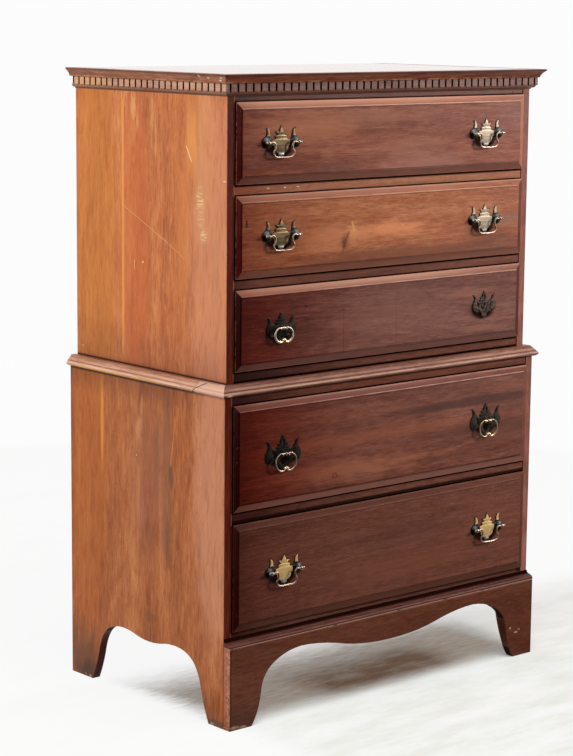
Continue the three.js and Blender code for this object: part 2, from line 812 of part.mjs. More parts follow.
function addRingPull(name, x, field, z, size, reach, drop, single, pairs) {
  const back = field - seatGap;
  const front = back - plateThickness;
  const plate = piercedPlate(x, back, z, size, single, pairs, []);
  add(name + "_plate", join(plate, post(x, front, z)), bronze);
  const place = ([across, down]) => new THREE.Vector3(across * reach, 0, down * drop);
  const right = [...ringShares.map(place), place([ringTopShare, 0])];
  const left = right.map((point) => new THREE.Vector3(-point.x, 0, point.z));
  const path = new THREE.CurvePath();
  path.add(spline(right));
  path.add(new THREE.LineCurve3(right[right.length - 1], left[left.length - 1]));
  path.add(spline(left.slice().reverse()));
  const beads = beadShares.map((share) => {
    const bead = new THREE.SphereGeometry(ringBeadRadius, beadSides, beadRings);
    return bead.translate(...place(share));
  });
  const ring = join(wire(path, ringSteps), ...beads);
  add(name + "_ring", ring.translate(x, front - pivotReach, z), ringMetal);
}

export default model;
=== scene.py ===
"""Looks of the chest on chest: its woods and metals, fine shapes, camera and studio light."""

import json
import math

import bmesh
import bpy
from mathutils import Matrix, Vector

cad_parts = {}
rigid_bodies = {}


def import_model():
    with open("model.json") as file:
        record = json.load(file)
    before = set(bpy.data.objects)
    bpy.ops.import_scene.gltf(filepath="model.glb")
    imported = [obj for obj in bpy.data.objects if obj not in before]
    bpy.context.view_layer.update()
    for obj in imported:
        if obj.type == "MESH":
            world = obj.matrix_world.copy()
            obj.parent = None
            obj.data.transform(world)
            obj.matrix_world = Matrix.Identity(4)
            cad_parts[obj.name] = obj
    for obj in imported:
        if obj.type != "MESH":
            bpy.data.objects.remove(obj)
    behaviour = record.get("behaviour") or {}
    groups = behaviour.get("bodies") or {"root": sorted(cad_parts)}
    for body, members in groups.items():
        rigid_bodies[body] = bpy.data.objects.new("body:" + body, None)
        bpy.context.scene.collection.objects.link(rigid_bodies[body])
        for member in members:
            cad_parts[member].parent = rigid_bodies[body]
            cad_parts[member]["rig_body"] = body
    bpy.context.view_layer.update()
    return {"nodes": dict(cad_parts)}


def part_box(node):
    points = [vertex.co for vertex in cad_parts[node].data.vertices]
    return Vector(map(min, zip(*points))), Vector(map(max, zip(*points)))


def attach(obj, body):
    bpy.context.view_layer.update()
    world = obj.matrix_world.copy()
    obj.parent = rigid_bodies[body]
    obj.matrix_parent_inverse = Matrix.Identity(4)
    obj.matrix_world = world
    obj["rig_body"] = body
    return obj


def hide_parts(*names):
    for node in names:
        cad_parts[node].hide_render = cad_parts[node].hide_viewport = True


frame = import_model()
MM = 0.001
METRE = 1000


def linear(colour):
    """A screen colour, 0 to 255, as the linear colour that a shader takes."""
    shares = [value / 255 for value in colour]
    return tuple(share / 12.92 if share <= 0.04045 else ((share + 0.055) / 1.055) ** 2.4 for share in shares)


def add_object(name, data):
    thing = bpy.data.objects.new(name, data)
    bpy.context.scene.collection.objects.link(thing)
    return thing


def spread(start, end, steps):
    """Even steps from start to end, with both."""
    return [start + (end - start) * i / steps for i in range(steps + 1)]


def place_of(node):
    """A node's lowest and highest corners in millimetres."""
    return [[value * METRE for value in corner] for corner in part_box(node)]


# Camera

CAMERA_PLACE = (-3.0789, -3.46405, 1.4052)
CAMERA_YAW = math.radians(-41.041)
CAMERA_PITCH = math.radians(-9.559)
CAMERA_ROLL = math.radians(0.537)
CAMERA_LENS = 105.04
CAMERA_SENSOR = 36


def add_camera():
    data = bpy.data.cameras.new("camera")
    data.lens = CAMERA_LENS
    data.sensor_width = CAMERA_SENSOR
    camera = add_object("camera", data)
    level = Vector((math.cos(CAMERA_YAW), math.sin(CAMERA_YAW), 0))
    ahead = Vector((-math.sin(CAMERA_YAW), math.cos(CAMERA_YAW), 0))
    forward = ahead * math.cos(CAMERA_PITCH) + Vector((0, 0, math.sin(CAMERA_PITCH)))
    upright = level.cross(forward)
    right = level * math.cos(CAMERA_ROLL) + upright * math.sin(CAMERA_ROLL)
    up = upright * math.cos(CAMERA_ROLL) - level * math.sin(CAMERA_ROLL)
    turn = Matrix((right, up, -forward)).transposed()
    camera.matrix_world = Matrix.Translation(CAMERA_PLACE) @ turn.to_4x4()
    bpy.context.scene.camera = camera


# Materials and the world are graphs of shader nodes

class Graph:
    def __init__(self, owner):
        owner.use_nodes = True
        self.tree = owner.node_tree

    def node(self, kind, inputs=None, **settings):
        node = self.tree.nodes.new("ShaderNode" + kind)
        for key, value in settings.items():
            setattr(node, key, value)
        self.fill(node, inputs or {})
        return node

    def fill(self, node, inputs):
        for key, value in inputs.items():
            self.feed(node.inputs[key], value)

    def feed(self, socket, value):
        if isinstance(value, bpy.types.NodeSocket):
            self.tree.links.new(value, socket)
        elif socket.type == "RGBA" and len(value) == 3:
            socket.default_value = (*value, 1)
        else:
            socket.default_value = value

    def math(self, operation, *values):
        return self.node("Math", dict(enumerate(values)), operation=operation).outputs[0]

    def plus(self, a, b):
        return self.math("ADD", a, b)

    def minus(self, a, b):
        return self.math("SUBTRACT", a, b)

    def scaled(self, value, factor, start):
        return self.math("MULTIPLY_ADD", value, factor, start)

    def joined(self, operation, values):
        result = values[0]
        for value in values[1:]:
            result = self.math(operation, result, value)
        return result

    def times(self, *values):
        return self.joined("MULTIPLY", values)

    def most(self, *values):
        return self.joined("MAXIMUM", values)

    def vector(self, x, y, z):
        return self.node("CombineXYZ", {0: x, 1: y, 2: z}).outputs[0]

    def length(self, x, y, z):
        return self.node("VectorMath", {0: self.vector(x, y, z)}, operation="LENGTH").outputs["Value"]

    def seen(self):
        """1 for what the camera sees, also in shiny or clear things."""
        path = self.node("LightPath").outputs
        return self.most(*(path[f"Is {kind} Ray"] for kind in ("Camera", "Glossy", "Transmission")))


class Surface(Graph):
    """A material. Its places are millimetres in the part's frame, so they stay with the piece."""

    def __init__(self, name, along="X", across="Z"):
        self.material = bpy.data.materials.new(name)
        super().__init__(self.material)
        self.shader = self.tree.nodes["Principled BSDF"]
        place = {0: self.node("TexCoord").outputs["Object"], "Scale": METRE}
        scaled = self.node("VectorMath", place, operation="SCALE")
        axes = self.node("SeparateXYZ", {0: scaled.outputs[0]}).outputs
        depth = next(axis for axis in "XYZ" if axis not in (along, across))
        self.along, self.across, self.depth = axes[along], axes[across], axes[depth]
        self.grain = self.vector(self.across, self.depth, self.along)
        self.colour = None

    def noise(self, across, along, seed, detail=2.0, rough=0.5, output="Fac"):
        """Noise whose cells are about that many millimetres across and along the grain."""
        scale = (1 / across, 1 / across, 1 / along)
        place = (seed, seed * 1.7, seed * 0.6)
        mapped = self.node("Mapping", {"Vector": self.grain, "Location": place, "Scale": scale})
        inputs = {"Vector": mapped.outputs[0], "Scale": 1.0, "Detail": detail, "Roughness": rough}
        return self.node("TexNoise", inputs).outputs[output]

    def fade(self, value, start, end, low=1.0, high=0.0):
        """low up to start and high from end on."""
        inputs = {"Value": value, "From Min": start, "From Max": end, "To Min": low, "To Max": high}
        return self.node("MapRange", inputs, interpolation_type="SMOOTHSTEP").outputs[0]

    def grow(self, value, start, end, high=1.0):
        return self.fade(value, start, end, 0.0, high)

    def halves(self, value):
        """1 where the value is below 0, and 1 where it is above."""
        return self.fade(value, -1.0, 1.0), self.grow(value, -1.0, 1.0)

    def window(self, value, centre, half, soft):
        """1 within half of the centre, fading to 0 over soft."""
        off = self.math("ABSOLUTE", self.minus(value, centre))
        return self.fade(off, half, half + soft)

    def mix(self, factor, a, b, blend="MIX"):
        node = self.node("Mix", data_type="RGBA", blend_type=blend, clamp_factor=True)
        self.fill(node, {0: factor, 6: a, 7: b})
        return node.outputs[2]

    def ramp(self, factor, stops):
        node = self.node("ValToRGB", {"Fac": factor})
        elements = node.color_ramp.elements
        elements.remove(elements[1])
        elements[0].position, elements[0].color = stops[0][0], (*linear(stops[0][1]), 1)
        for place, colour in stops[1:]:
            elements.new(place).color = (*linear(colour), 1)
        return node.outputs["Color"]

    def paint(self, colour, *masks, blend="MIX"):
        """Paints over what is there, where all the masks are above 0."""
        self.colour = self.mix(self.times(*masks), self.colour, linear(colour), blend)

    def tint(self, colour, *masks):
        self.paint(colour, *masks, blend="MULTIPLY")

    def finish(self, roughness, level, relief, strength, distance, metallic=0.0):
        bump = self.node("Bump", {"Height": relief, "Strength": strength, "Distance": distance * MM})
        self.fill(self.shader, {
            "Base Color": self.colour, "Roughness": roughness, "Specular IOR Level": level,
            "Metallic": metallic, "Normal": bump.outputs[0],
        })
        return self.material


BEND_LENGTH = 520  # over what length the grain wanders
BOARD_JUMP = 900.0  # how far along the grain one board's figure may start from another's
RING_DRIFT = 260.0  # over what length the growth rings change
SMEAR_GLOSS = 0.16  # how much the roughness changes with the varnish's smears
FIBRE_GLOSS = 0.10
BARE_ROUGHNESS = 0.4  # how much rougher bare wood is
WOOD_RELIEF = (0.12, 0.4)  # strength and millimetres
METAL_GLOSS = 0.2
METAL_RELIEF = (0.15, 0.2)


class Wood(Surface):
    """Varnished wood: boards side by side, growth rings, streaks, fibres and pores."""

    def __init__(self, name, tones, seed, along="X", across="Z", knot=None, board=400, joint=-60,
                 board_tint=0.5, ring=1.0, streak=1.0, contrast=1.0, slope=0.1, heart=60, ring_width=5.0,
                 stretch=1.0, bend=9, roll=60):
        """The bare wood. tones are its dark, middle and light colours."""
        super().__init__(name, along, across)
        index = self.math("FLOOR", self.math("DIVIDE", self.minus(self.across, joint), board))
        pick = self.node("TexWhiteNoise", {"W": self.plus(index, seed)}, noise_dimensions="1D")
        parts = self.node("SeparateColor", {0: pick.outputs["Color"]}).outputs
        sway = self.noise(BEND_LENGTH / 2, BEND_LENGTH, seed, 1.0, output="Color")
        sway = self.node("SeparateColor", {0: sway}).outputs
        wander = self.scaled(sway[0], bend * 2, -bend)
        if knot:
            wander = self.plus(wander, self.bulge(*knot))
        across = self.plus(self.across, wander)
        along = self.scaled(parts[0], BOARD_JUMP, self.along)
        self.grain = self.vector(across, self.depth, along)
        # Growth rings are cylinders round a heart that lies outside the board
        middle = self.scaled(parts[1], board * 0.8, self.math("MULTIPLY", index, board))
        side = self.minus(across, self.plus(middle, joint))
        depth = self.scaled(sway[1], roll, self.scaled(along, slope, heart))
        turns = self.math("DIVIDE", self.length(side, depth, 0.0), ring_width)
        drift = self.math("DIVIDE", along, RING_DRIFT * stretch)
        inputs = {"Vector": self.vector(turns, drift, seed * 3.1), "Scale": 1.0, "Detail": 2.5}
        rings = self.node("TexNoise", inputs).outputs["Fac"]
        broad = self.noise(46, 700 * stretch, seed + 5)
        streaks = self.noise(11, 330 * stretch, seed + 9, 3.0, 0.62)
        figure = self.noise(7, 36, seed + 21, 3.0, 0.6)
        self.fibres = self.noise(1.8, 32 * stretch, seed + 13, 2.0, 0.6)
        layers = (
            (rings, 0.62 * ring * contrast), (broad, 0.75 * contrast), (streaks, 0.45 * streak * contrast),
            (figure, 0.5 * contrast), (self.fibres, 0.6 * contrast), (parts[2], 0.16 * board_tint),
        )
        value = 0.5
        for layer, share in layers:
            value = self.scaled(layer, share, value)
        value = self.minus(value, sum(share for layer, share in layers) / 2)
        self.colour = self.ramp(value, list(zip((0.12, 0.5, 0.88), tones)))
        pores = self.noise(0.9, 9, seed + 17, 1.0)
        self.paint(tones[0], self.fade(pores, 0.30, 0.36, 0.5))
        lines = self.noise(2.2, 20, seed + 23, 2.0, 0.6)
        self.paint(tones[0], self.fade(lines, 0.34, 0.46, 0.4))
        self.paint(tones[2], self.grow(lines, 0.56, 0.66, 0.3))

    def oval(self, across, along, reach_across, reach_along):
        """How far off an oval's middle a place is, 1 at its edge, and how far across it is."""
        x = self.math("DIVIDE", self.minus(self.across, across), reach_across)
        z = self.math("DIVIDE", self.minus(self.along, along), reach_along)
        return self.length(x, 0.0, z), x

    def bulge(self, across, along, reach_across, reach_along, pull):
        """How far the grain is pushed across as it goes round a knot."""
        off, x = self.oval(across, along, reach_across, reach_along)
        return self.times(self.fade(off, 0.0, 1.0, pull), x, -reach_across)

    def stripe(self, colour, across, half, start, end, soft, fade=40, strength=1.0, waver=4):
        """A stripe of another colour along the grain, from start to end."""
        wobble = self.noise(60, 160, across * 0.013)
        place = self.scaled(wobble, waver * 2, self.minus(self.across, waver))
        body = self.window(place, across, half, soft)
        reach = self.window(self.along, (start + end) / 2, abs(end - start) / 2 - fade, fade)
        self.paint(colour, body, reach, strength)

    def patch(self, colour, across, along, reach_across, reach_along, strength=1.0, ragged=0.5,
              soft=0.5, grain=12):
        """An oval patch with an uneven edge."""
        off = self.oval(across, along, reach_across, reach_along)[0]
        uneven = self.noise(grain, grain * 5, across * 0.017 + along * 0.011)
        off = self.scaled(uneven, ragged * 2, self.minus(off, ragged))
        share = self.times(self.fade(off, 1 - soft, 1.0), strength)
        self.paint(colour, share)
        return share

    def scratch(self, colour, start, end, half, strength=1.0, soft=0.6):
        """A straight mark from start to end, each given across and along."""
        length = math.hypot(end[0] - start[0], end[1] - start[1])
        run = ((end[0] - start[0]) / length, (end[1] - start[1]) / length)
        x = self.minus(self.across, (start[0] + end[0]) / 2)
        z = self.minus(self.along, (start[1] + end[1]) / 2)
        lengthwise = self.scaled(x, run[0], self.math("MULTIPLY", z, run[1]))
        sideways = self.scaled(x, run[1], self.math("MULTIPLY", z, -run[0]))
        body = self.window(sideways, 0.0, half, soft)
        reach = self.window(lengthwise, 0.0, length * 0.35, length * 0.15)
        self.paint(colour, body, reach, strength)

    def mark(self, *rows):
        """Paints patches, and scratches where a row gives the places of two ends, as those two take them."""
        for row in rows:
            draw = self.scratch if isinstance(row[1], tuple) else self.patch
            draw(*row)

    def worn_line(self, colour, value, centre, half, soft, keep, strength, seed):
        """A broken line of wear where value is near the centre."""
        broken = self.grow(self.noise(14, 26, seed, 3.0, 0.6), keep, keep + 0.08)
        self.paint(colour, self.window(value, centre, half, soft), broken, strength)

    def blotches(self, colour, across, along, seed, low, high, strength):
        """Cloudy patches of another shade."""
        self.tint(colour, self.grow(self.noise(across, along, seed, 2.5, 0.55), low, high, strength))

    def varnish(self, rough=0.28, level=0.28, dull=None):
        """Varnish with smears; where dull is 1 the wood is bare and matt."""
        smears = self.noise(60, 90, 31.7, 3.0, 0.6)
        gloss = self.scaled(smears, SMEAR_GLOSS, rough - SMEAR_GLOSS / 2)
        gloss = self.scaled(self.fibres, FIBRE_GLOSS, self.minus(gloss, FIBRE_GLOSS / 2))
        if dull:
            gloss = self.scaled(dull, BARE_ROUGHNESS, gloss)
            level = self.scaled(dull, -level, level)
        return self.finish(gloss, level, self.fibres, *WOOD_RELIEF)


# Wood colours, each as dark, middle and light

SIDE = ((152, 80, 44), (196, 114, 64), (222, 150, 96))
SIDE_LOW = ((128, 66, 36), (172, 98, 52), (202, 130, 80))
FRONT = ((104, 50, 36), (146, 82, 62), (182, 116, 88))
FRONT_ORANGE = ((120, 56, 34), (174, 100, 64), (206, 138, 96))
FRONT_COOL = ((86, 42, 34), (126, 76, 64), (160, 106, 90))
FRONT_BOARDS = ((82, 38, 28), (118, 68, 54), (152, 96, 76))
FRONT_DARK = ((84, 43, 32), (121, 72, 57), (148, 95, 77))
RAIL = ((84, 40, 28), (118, 64, 46), (150, 88, 62))
RAIL_LIGHT = ((122, 66, 44), (164, 98, 66), (196, 132, 92))
# The left stiles' wood, darkened as painted shade
STILE = ((70, 20, 10), (96, 32, 17), (122, 52, 30))
APRON = ((66, 29, 18), (102, 54, 36), (130, 76, 54))
BASE = ((60, 26, 20), (88, 45, 36), (120, 72, 60))
# The same stile wood on the right, lightened as painted sheen
STILE_RIGHT = ((112, 64, 52), (148, 94, 80), (176, 124, 110))
# The sawn edges of the feet and the apron: darker sawn wood with painted shade
SAWN_SHADE = ((22, 10, 6), (34, 16, 10), (50, 26, 17))
# The mouldings' side tones are lighter than their front ones, partly painted light: the sides lit, the fronts
# in shade
MOULDING_SIDE = ((140, 86, 62), (184, 128, 100), (216, 168, 138))
CROWN_SIDE = ((100, 50, 30), (150, 88, 58), (190, 130, 94))
CROWN_FRONT = ((90, 40, 24), (134, 70, 46), (168, 104, 76))
BLOCK_SIDE = ((140, 96, 76), (186, 138, 114), (208, 166, 140))
BLOCK_FRONT = ((96, 58, 48), (132, 94, 84), (160, 122, 110))
MOULDING_FRONT = ((92, 50, 38), (130, 82, 66), (176, 128, 106))
INNER = ((150, 112, 70), (186, 148, 100), (212, 180, 134))
PALE = (224, 168, 110)
BLACK = (26, 8, 5)
NICK = (240, 208, 166)

WAIST_TOP = place_of("waist_moulding_left")[1][2]
SIDE_GRAIN = {"ring_width": 8, "stretch": 1.4, "board_tint": 0.3, "ring": 0.8}
FRONT_GRAIN = {"board": 500, "ring_width": 6, "stretch": 1.2, "bend": 5, "heart": 120, "slope": 0.05,
               "roll": 40}
MOULDING_GRAIN = {"bend": 3, "roll": 20}


def upper_left_wood():
    wood = Wood("upper_left_wood", SIDE, 3.0, "Z", "Y", (-150, 1010, 46, 130, 0.75),
                board=103, joint=104, streak=0.7, **SIDE_GRAIN)
    wood.mark(
        ((198, 122, 44), 190, 960, 92, 600, 0.5, 0.25),
        ((196, 100, 52), 62, 930, 62, 420, 0.6, 0.3),
        ((216, 146, 108), -190, 890, 105, 620, 0.6, 0.35, 0.7),
    )
    wood.blotches((206, 184, 170), 26, 130, 6.6, 0.5, 0.7, 0.35)
    wood.blotches((232, 206, 178), 9, 40, 2.9, 0.52, 0.66, 0.4)
    wood.patch((214, 148, 96), -155, 1130, 26, 240, 0.4, 0.5, 0.8)
    wood.stripe((226, 148, 74), 100, 2.6, 690, 1240, 2, 40, 0.8, 1.5)
    wood.stripe((228, 150, 78), -122, 8, 1030, 1270, 14, 120, 0.75)
    wood.stripe((210, 128, 70), -98, 12, 800, 1150, 16, 120, 0.45)
    wood.mark(
        (PALE, 66, 1204, 12, 40, 0.6, 0.9, 0.7, 4),
        (PALE, 52, 1178, 6, 24, 0.4, 0.8, 0.7, 4),
        (PALE, 2, 1196, 9, 44, 0.35, 1.0, 0.7, 4),
        (PALE, -8, 1150, 5, 60, 0.35, 0.8, 0.7, 4),
    )
    curls = wood.grow(wood.noise(8, 3.6, 14.3, 2.0, 0.6), 0.48, 0.62)
    for knot in ((-147, 1036, 17, 34), (-150, 1000, 14, 22), (-160, 968, 16, 18)):
        off = wood.oval(*knot)[0]
        wood.paint((212, 158, 112), wood.fade(off, 0.2, 1.3, 0.45))
        wood.paint((246, 212, 160), wood.fade(off, 0.3, 1.0), curls, 0.5)
    wood.mark(
        ((250, 226, 196), (-103, 1141), (-123, 1105), 0.5, 0.9),
        ((230, 164, 116), (116, 1016), (-50, 942), 0.45, 0.6),
        ((230, 164, 116), (-20, 957), (-104, 915), 0.45, 0.5),
        ((236, 186, 130), (62, 903), (62, 881), 0.7, 0.6),
        (NICK, 34, 899, 2.5, 3.5, 0.8, 0.2, 0.5, 4),
        (NICK, -222, 1076, 7, 1.8, 0.7, 0.2, 0.5, 4),
        (NICK, 240, 706, 3, 3, 0.6, 0.2, 0.5, 4),
    )
    # Darker towards the bottom, and a black painted shadow line just above the waist moulding
    wood.tint((212, 206, 214), wood.fade(wood.along, 682, 800, 0.75))
    wood.tint((196, 186, 190), wood.fade(wood.along, 684, 700, 0.6))
    wood.paint(BLACK, wood.fade(wood.along, WAIST_TOP + 2, WAIST_TOP + 5, 0.9))
    return wood.varnish(0.3, 0.16)


def lower_left_wood():
    wood = Wood("lower_left_wood", SIDE_LOW, 11.0, "Z", "Y", (28, 540, 30, 90, 0.8),
                board=118, joint=150, streak=0.75, **SIDE_GRAIN)
    wood.mark(
        ((180, 98, 34), 200, 420, 84, 480, 0.5, 0.3),
        ((208, 144, 112), -215, 480, 84, 420, 0.6, 0.3),
        ((150, 90, 66), 0, 480, 90, 260, 0.6, 0.5, 0.8),
    )
    wood.blotches((196, 172, 164), 24, 120, 7.7, 0.5, 0.7, 0.35)
    wood.blotches((226, 196, 170), 8, 36, 3.8, 0.52, 0.66, 0.4)
    wood.stripe((216, 138, 56), 154, 3.4, 430, 690, 2.4, 90, 0.85, 1.5)
    wood.stripe((118, 80, 60), -62, 7, 270, 700, 12, 90, 0.45, 12)
    wood.stripe((118, 78, 56), -28, 4, 380, 640, 10, 90, 0.35, 8)
    wood.mark(
        ((96, 64, 46), -77, 480, 9, 34, 0.6, 0.6),
        ((110, 72, 52), -66, 350, 10, 70, 0.4, 0.6),
        ((206, 144, 96), 28, 562, 15, 36, 0.5, 1.0, 0.7, 5),
        ((200, 136, 88), 20, 610, 6, 34, 0.5, 0.8, 0.5, 5),
        ((110, 62, 36), 37, 507, 8, 7, 0.7, 0.3, 0.4, 5),
        ((210, 150, 104), 37, 507, 5, 4, 0.8, 0.3, 0.4, 5),
    )
    wood.stripe((196, 120, 72), 31, 4, 350, 500, 4, 50, 0.6, 4)
    wood.mark(
        ((206, 140, 88), (-92, 612), (-74, 494), 0.9, 0.4, 2),
        ((120, 70, 46), -7, 178, 30, 16, 0.45, 0.6),
    )
    # Painted shadow under the waist moulding, at the top of the panel towards the back
    wood.tint((206, 206, 216), wood.grow(wood.along, 600, 664, 0.8), wood.grow(wood.across, -190, -120))
    wood.mark(
        ((92, 58, 40), 215, 40, 90, 110, 0.75, 0.5, 0.8),
        ((62, 40, 30), 180, 8, 90, 40, 0.7, 0.5, 0.6),
        ((104, 64, 44), -160, 20, 110, 70, 0.5, 0.6, 0.8),
        ((84, 56, 40), -222, 4, 56, 16, 0.75, 0.6, 0.6, 5),
    )
    wood.worn_line((196, 160, 128), wood.along, 3, 2.5, 3, 0.5, 0.6, 4.1)
    # A black painted shadow line just under the waist moulding
    wood.paint(BLACK, wood.grow(wood.along, 656, 659.5, 0.8), wood.fade(wood.across, -230, -60, 0.2, 1.0))
    return wood.varnish(0.3, 0.14)


BEVEL = 13  # width of the bevelled border of a drawer front
EDGE_BACK = 4.6  # from the raised field back to the flat edges of the border
FRONT_KNOT = (943, -117, 34, 70, 0.8)
# Each drawer front's wood, its contrast and the middles of its pulls, then the colours of its upper and
# lower bevels in painted light and shade and of its painted highlight line, and how strong the painted
# dusk at its left end, the painted sheen at its right end, its worn edges and its right bevel's painted shade
# are
DRAWERS = {
    1: (FRONT, 0.95, (-289, 278), (226, 160, 130), (112, 74, 64), (232, 176, 150), 0.4, 0.25, 0.55, 0.0),
    2: (FRONT_ORANGE, 1.0, (-287, 279), (184, 126, 104), (122, 80, 68), (214, 158, 134), 0.55, 0.1, 0.5, 0.8),
    3: (FRONT_COOL, 0.9, (-285, 284), (212, 154, 128), (110, 74, 66), (206, 156, 136), 0.9, 0.0, 0.4, 1.0),
    4: (FRONT_BOARDS, 0.85, (-289, 282), (150, 98, 84), (136, 92, 80), (200, 152, 138), 0.9, 0.0, 0.15, 0.15),
    5: (FRONT_DARK, 0.65, (-284, 294), (98, 56, 44), (82, 50, 40), (124, 84, 70), 0.45, 0.0, 0.1, 0.3),
}
FRONT_LEFT = -430  # near the left end of the rails
DUSK_SPAN = (-390, -40)  # where along a front the dusk fades
END_SPAN = (-425, -320)  # where the painted shade of the left end fades
# The stains, knots and scratches of each drawer front
DRAWER_MARKS = {
    1: [
        ((184, 114, 80), 1165, -190, 24, 130, 0.5, 0.6, 0.8),
        ((178, 118, 90), 1190, -60, 24, 260, 0.35, 0.6, 0.8),
        ((192, 120, 86), 1178, -240, 40, 190, 0.5, 0.5, 0.9),
        ((180, 124, 106), 1096, 90, 30, 220, 0.5, 0.6, 0.9),
        ((172, 106, 78), 1120, -168, 10, 22, 0.45, 0.5),
        ((102, 62, 50), 1095, -160, 20, 190, 0.45, 0.5, 0.9),
        ((180, 120, 96), 1130, 60, 26, 150, 0.35, 0.6, 0.9),
    ],
    2: [
        ((236, 150, 100), 962, 0, 26, 180, 0.75, 0.6, 0.9),
        ((214, 138, 96), 960, -160, 36, 120, 0.6, 0.5, 0.9),
        ((120, 66, 46), 908, 40, 30, 420, 0.75, 0.3, 0.7),
        ((150, 90, 62), 948, 250, 12, 140, 0.5, 0.6, 0.9),
        ((112, 68, 54), 914, 320, 40, 170, 0.6, 0.3, 0.8),
        ((150, 104, 92), 965, 360, 26, 90, 0.5, 0.4, 0.9),
        ((226, 158, 100), 966, -96, 20, 18, 0.6, 0.8, 0.9, 6),
        ((132, 80, 54), 946, -117, 26, 17, 0.6, 0.5, 0.8, 6),
        ((92, 54, 40), 941, -119, 13, 8, 0.75, 0.4, 0.7, 6),
        ((84, 48, 34), (966, -106), (944, -116), 1.2, 0.5, 2.5),
        ((84, 48, 34), (918, -126), (940, -119), 1.0, 0.4, 2.5),
        ((236, 172, 108), (962, -91), (985, -100), 0.8, 0.7, 2.0),
        ((232, 168, 110), 968, 42, 3, 4, 0.7, 0.3),
        ((30, 14, 10), 994, -373, 12, 3, 0.8, 0.4),
    ],
    3: [
        ((60, 30, 24), (821, -118), (711, -117), 0.5, 0.6),
        ((60, 30, 24), (836, 28), (722, 28), 0.5, 0.6),
        ((146, 98, 84), 796, 10, 90, 250, 0.4, 0.4, 0.9),
        ((156, 100, 80), 815, 235, 14, 120, 0.6, 0.8, 0.8),
        ((152, 96, 76), 734, 290, 12, 110, 0.55, 0.8, 0.8),
        ((86, 46, 36), 770, -220, 40, 90, 0.5, 0.5, 0.9),
        ((50, 26, 20), 823, -219, 3, 6, 0.8, 0.3),
    ],
    4: [
        ((164, 94, 66), 547, -20, 17, 560, 0.4, 0.5, 0.8),
        ((82, 47, 42), 583, 240, 13, 330, 0.8, 0.2, 0.5),
        ((92, 52, 42), 522, 300, 22, 280, 0.6, 0.4, 0.8),
        ((148, 84, 62), 606, 330, 9, 120, 0.4, 0.4, 0.8),
        ((170, 106, 80), 482, -110, 34, 330, 0.7, 0.7, 0.9),
        ((96, 46, 32), 475, -150, 7, 9, 0.7, 0.3, 0.4, 5),
        ((160, 92, 66), 475, -150, 4, 5, 0.8, 0.3, 0.4, 5),
    ],
    5: [
        ((124, 74, 56), 262, 80, 44, 340, 0.5, 0.4, 0.9),
        ((88, 54, 46), 325, 40, 34, 300, 0.4, 0.5, 0.9),
        ((190, 140, 112), (191, -231), (199, -207), 0.4, 0.6),
    ],
}


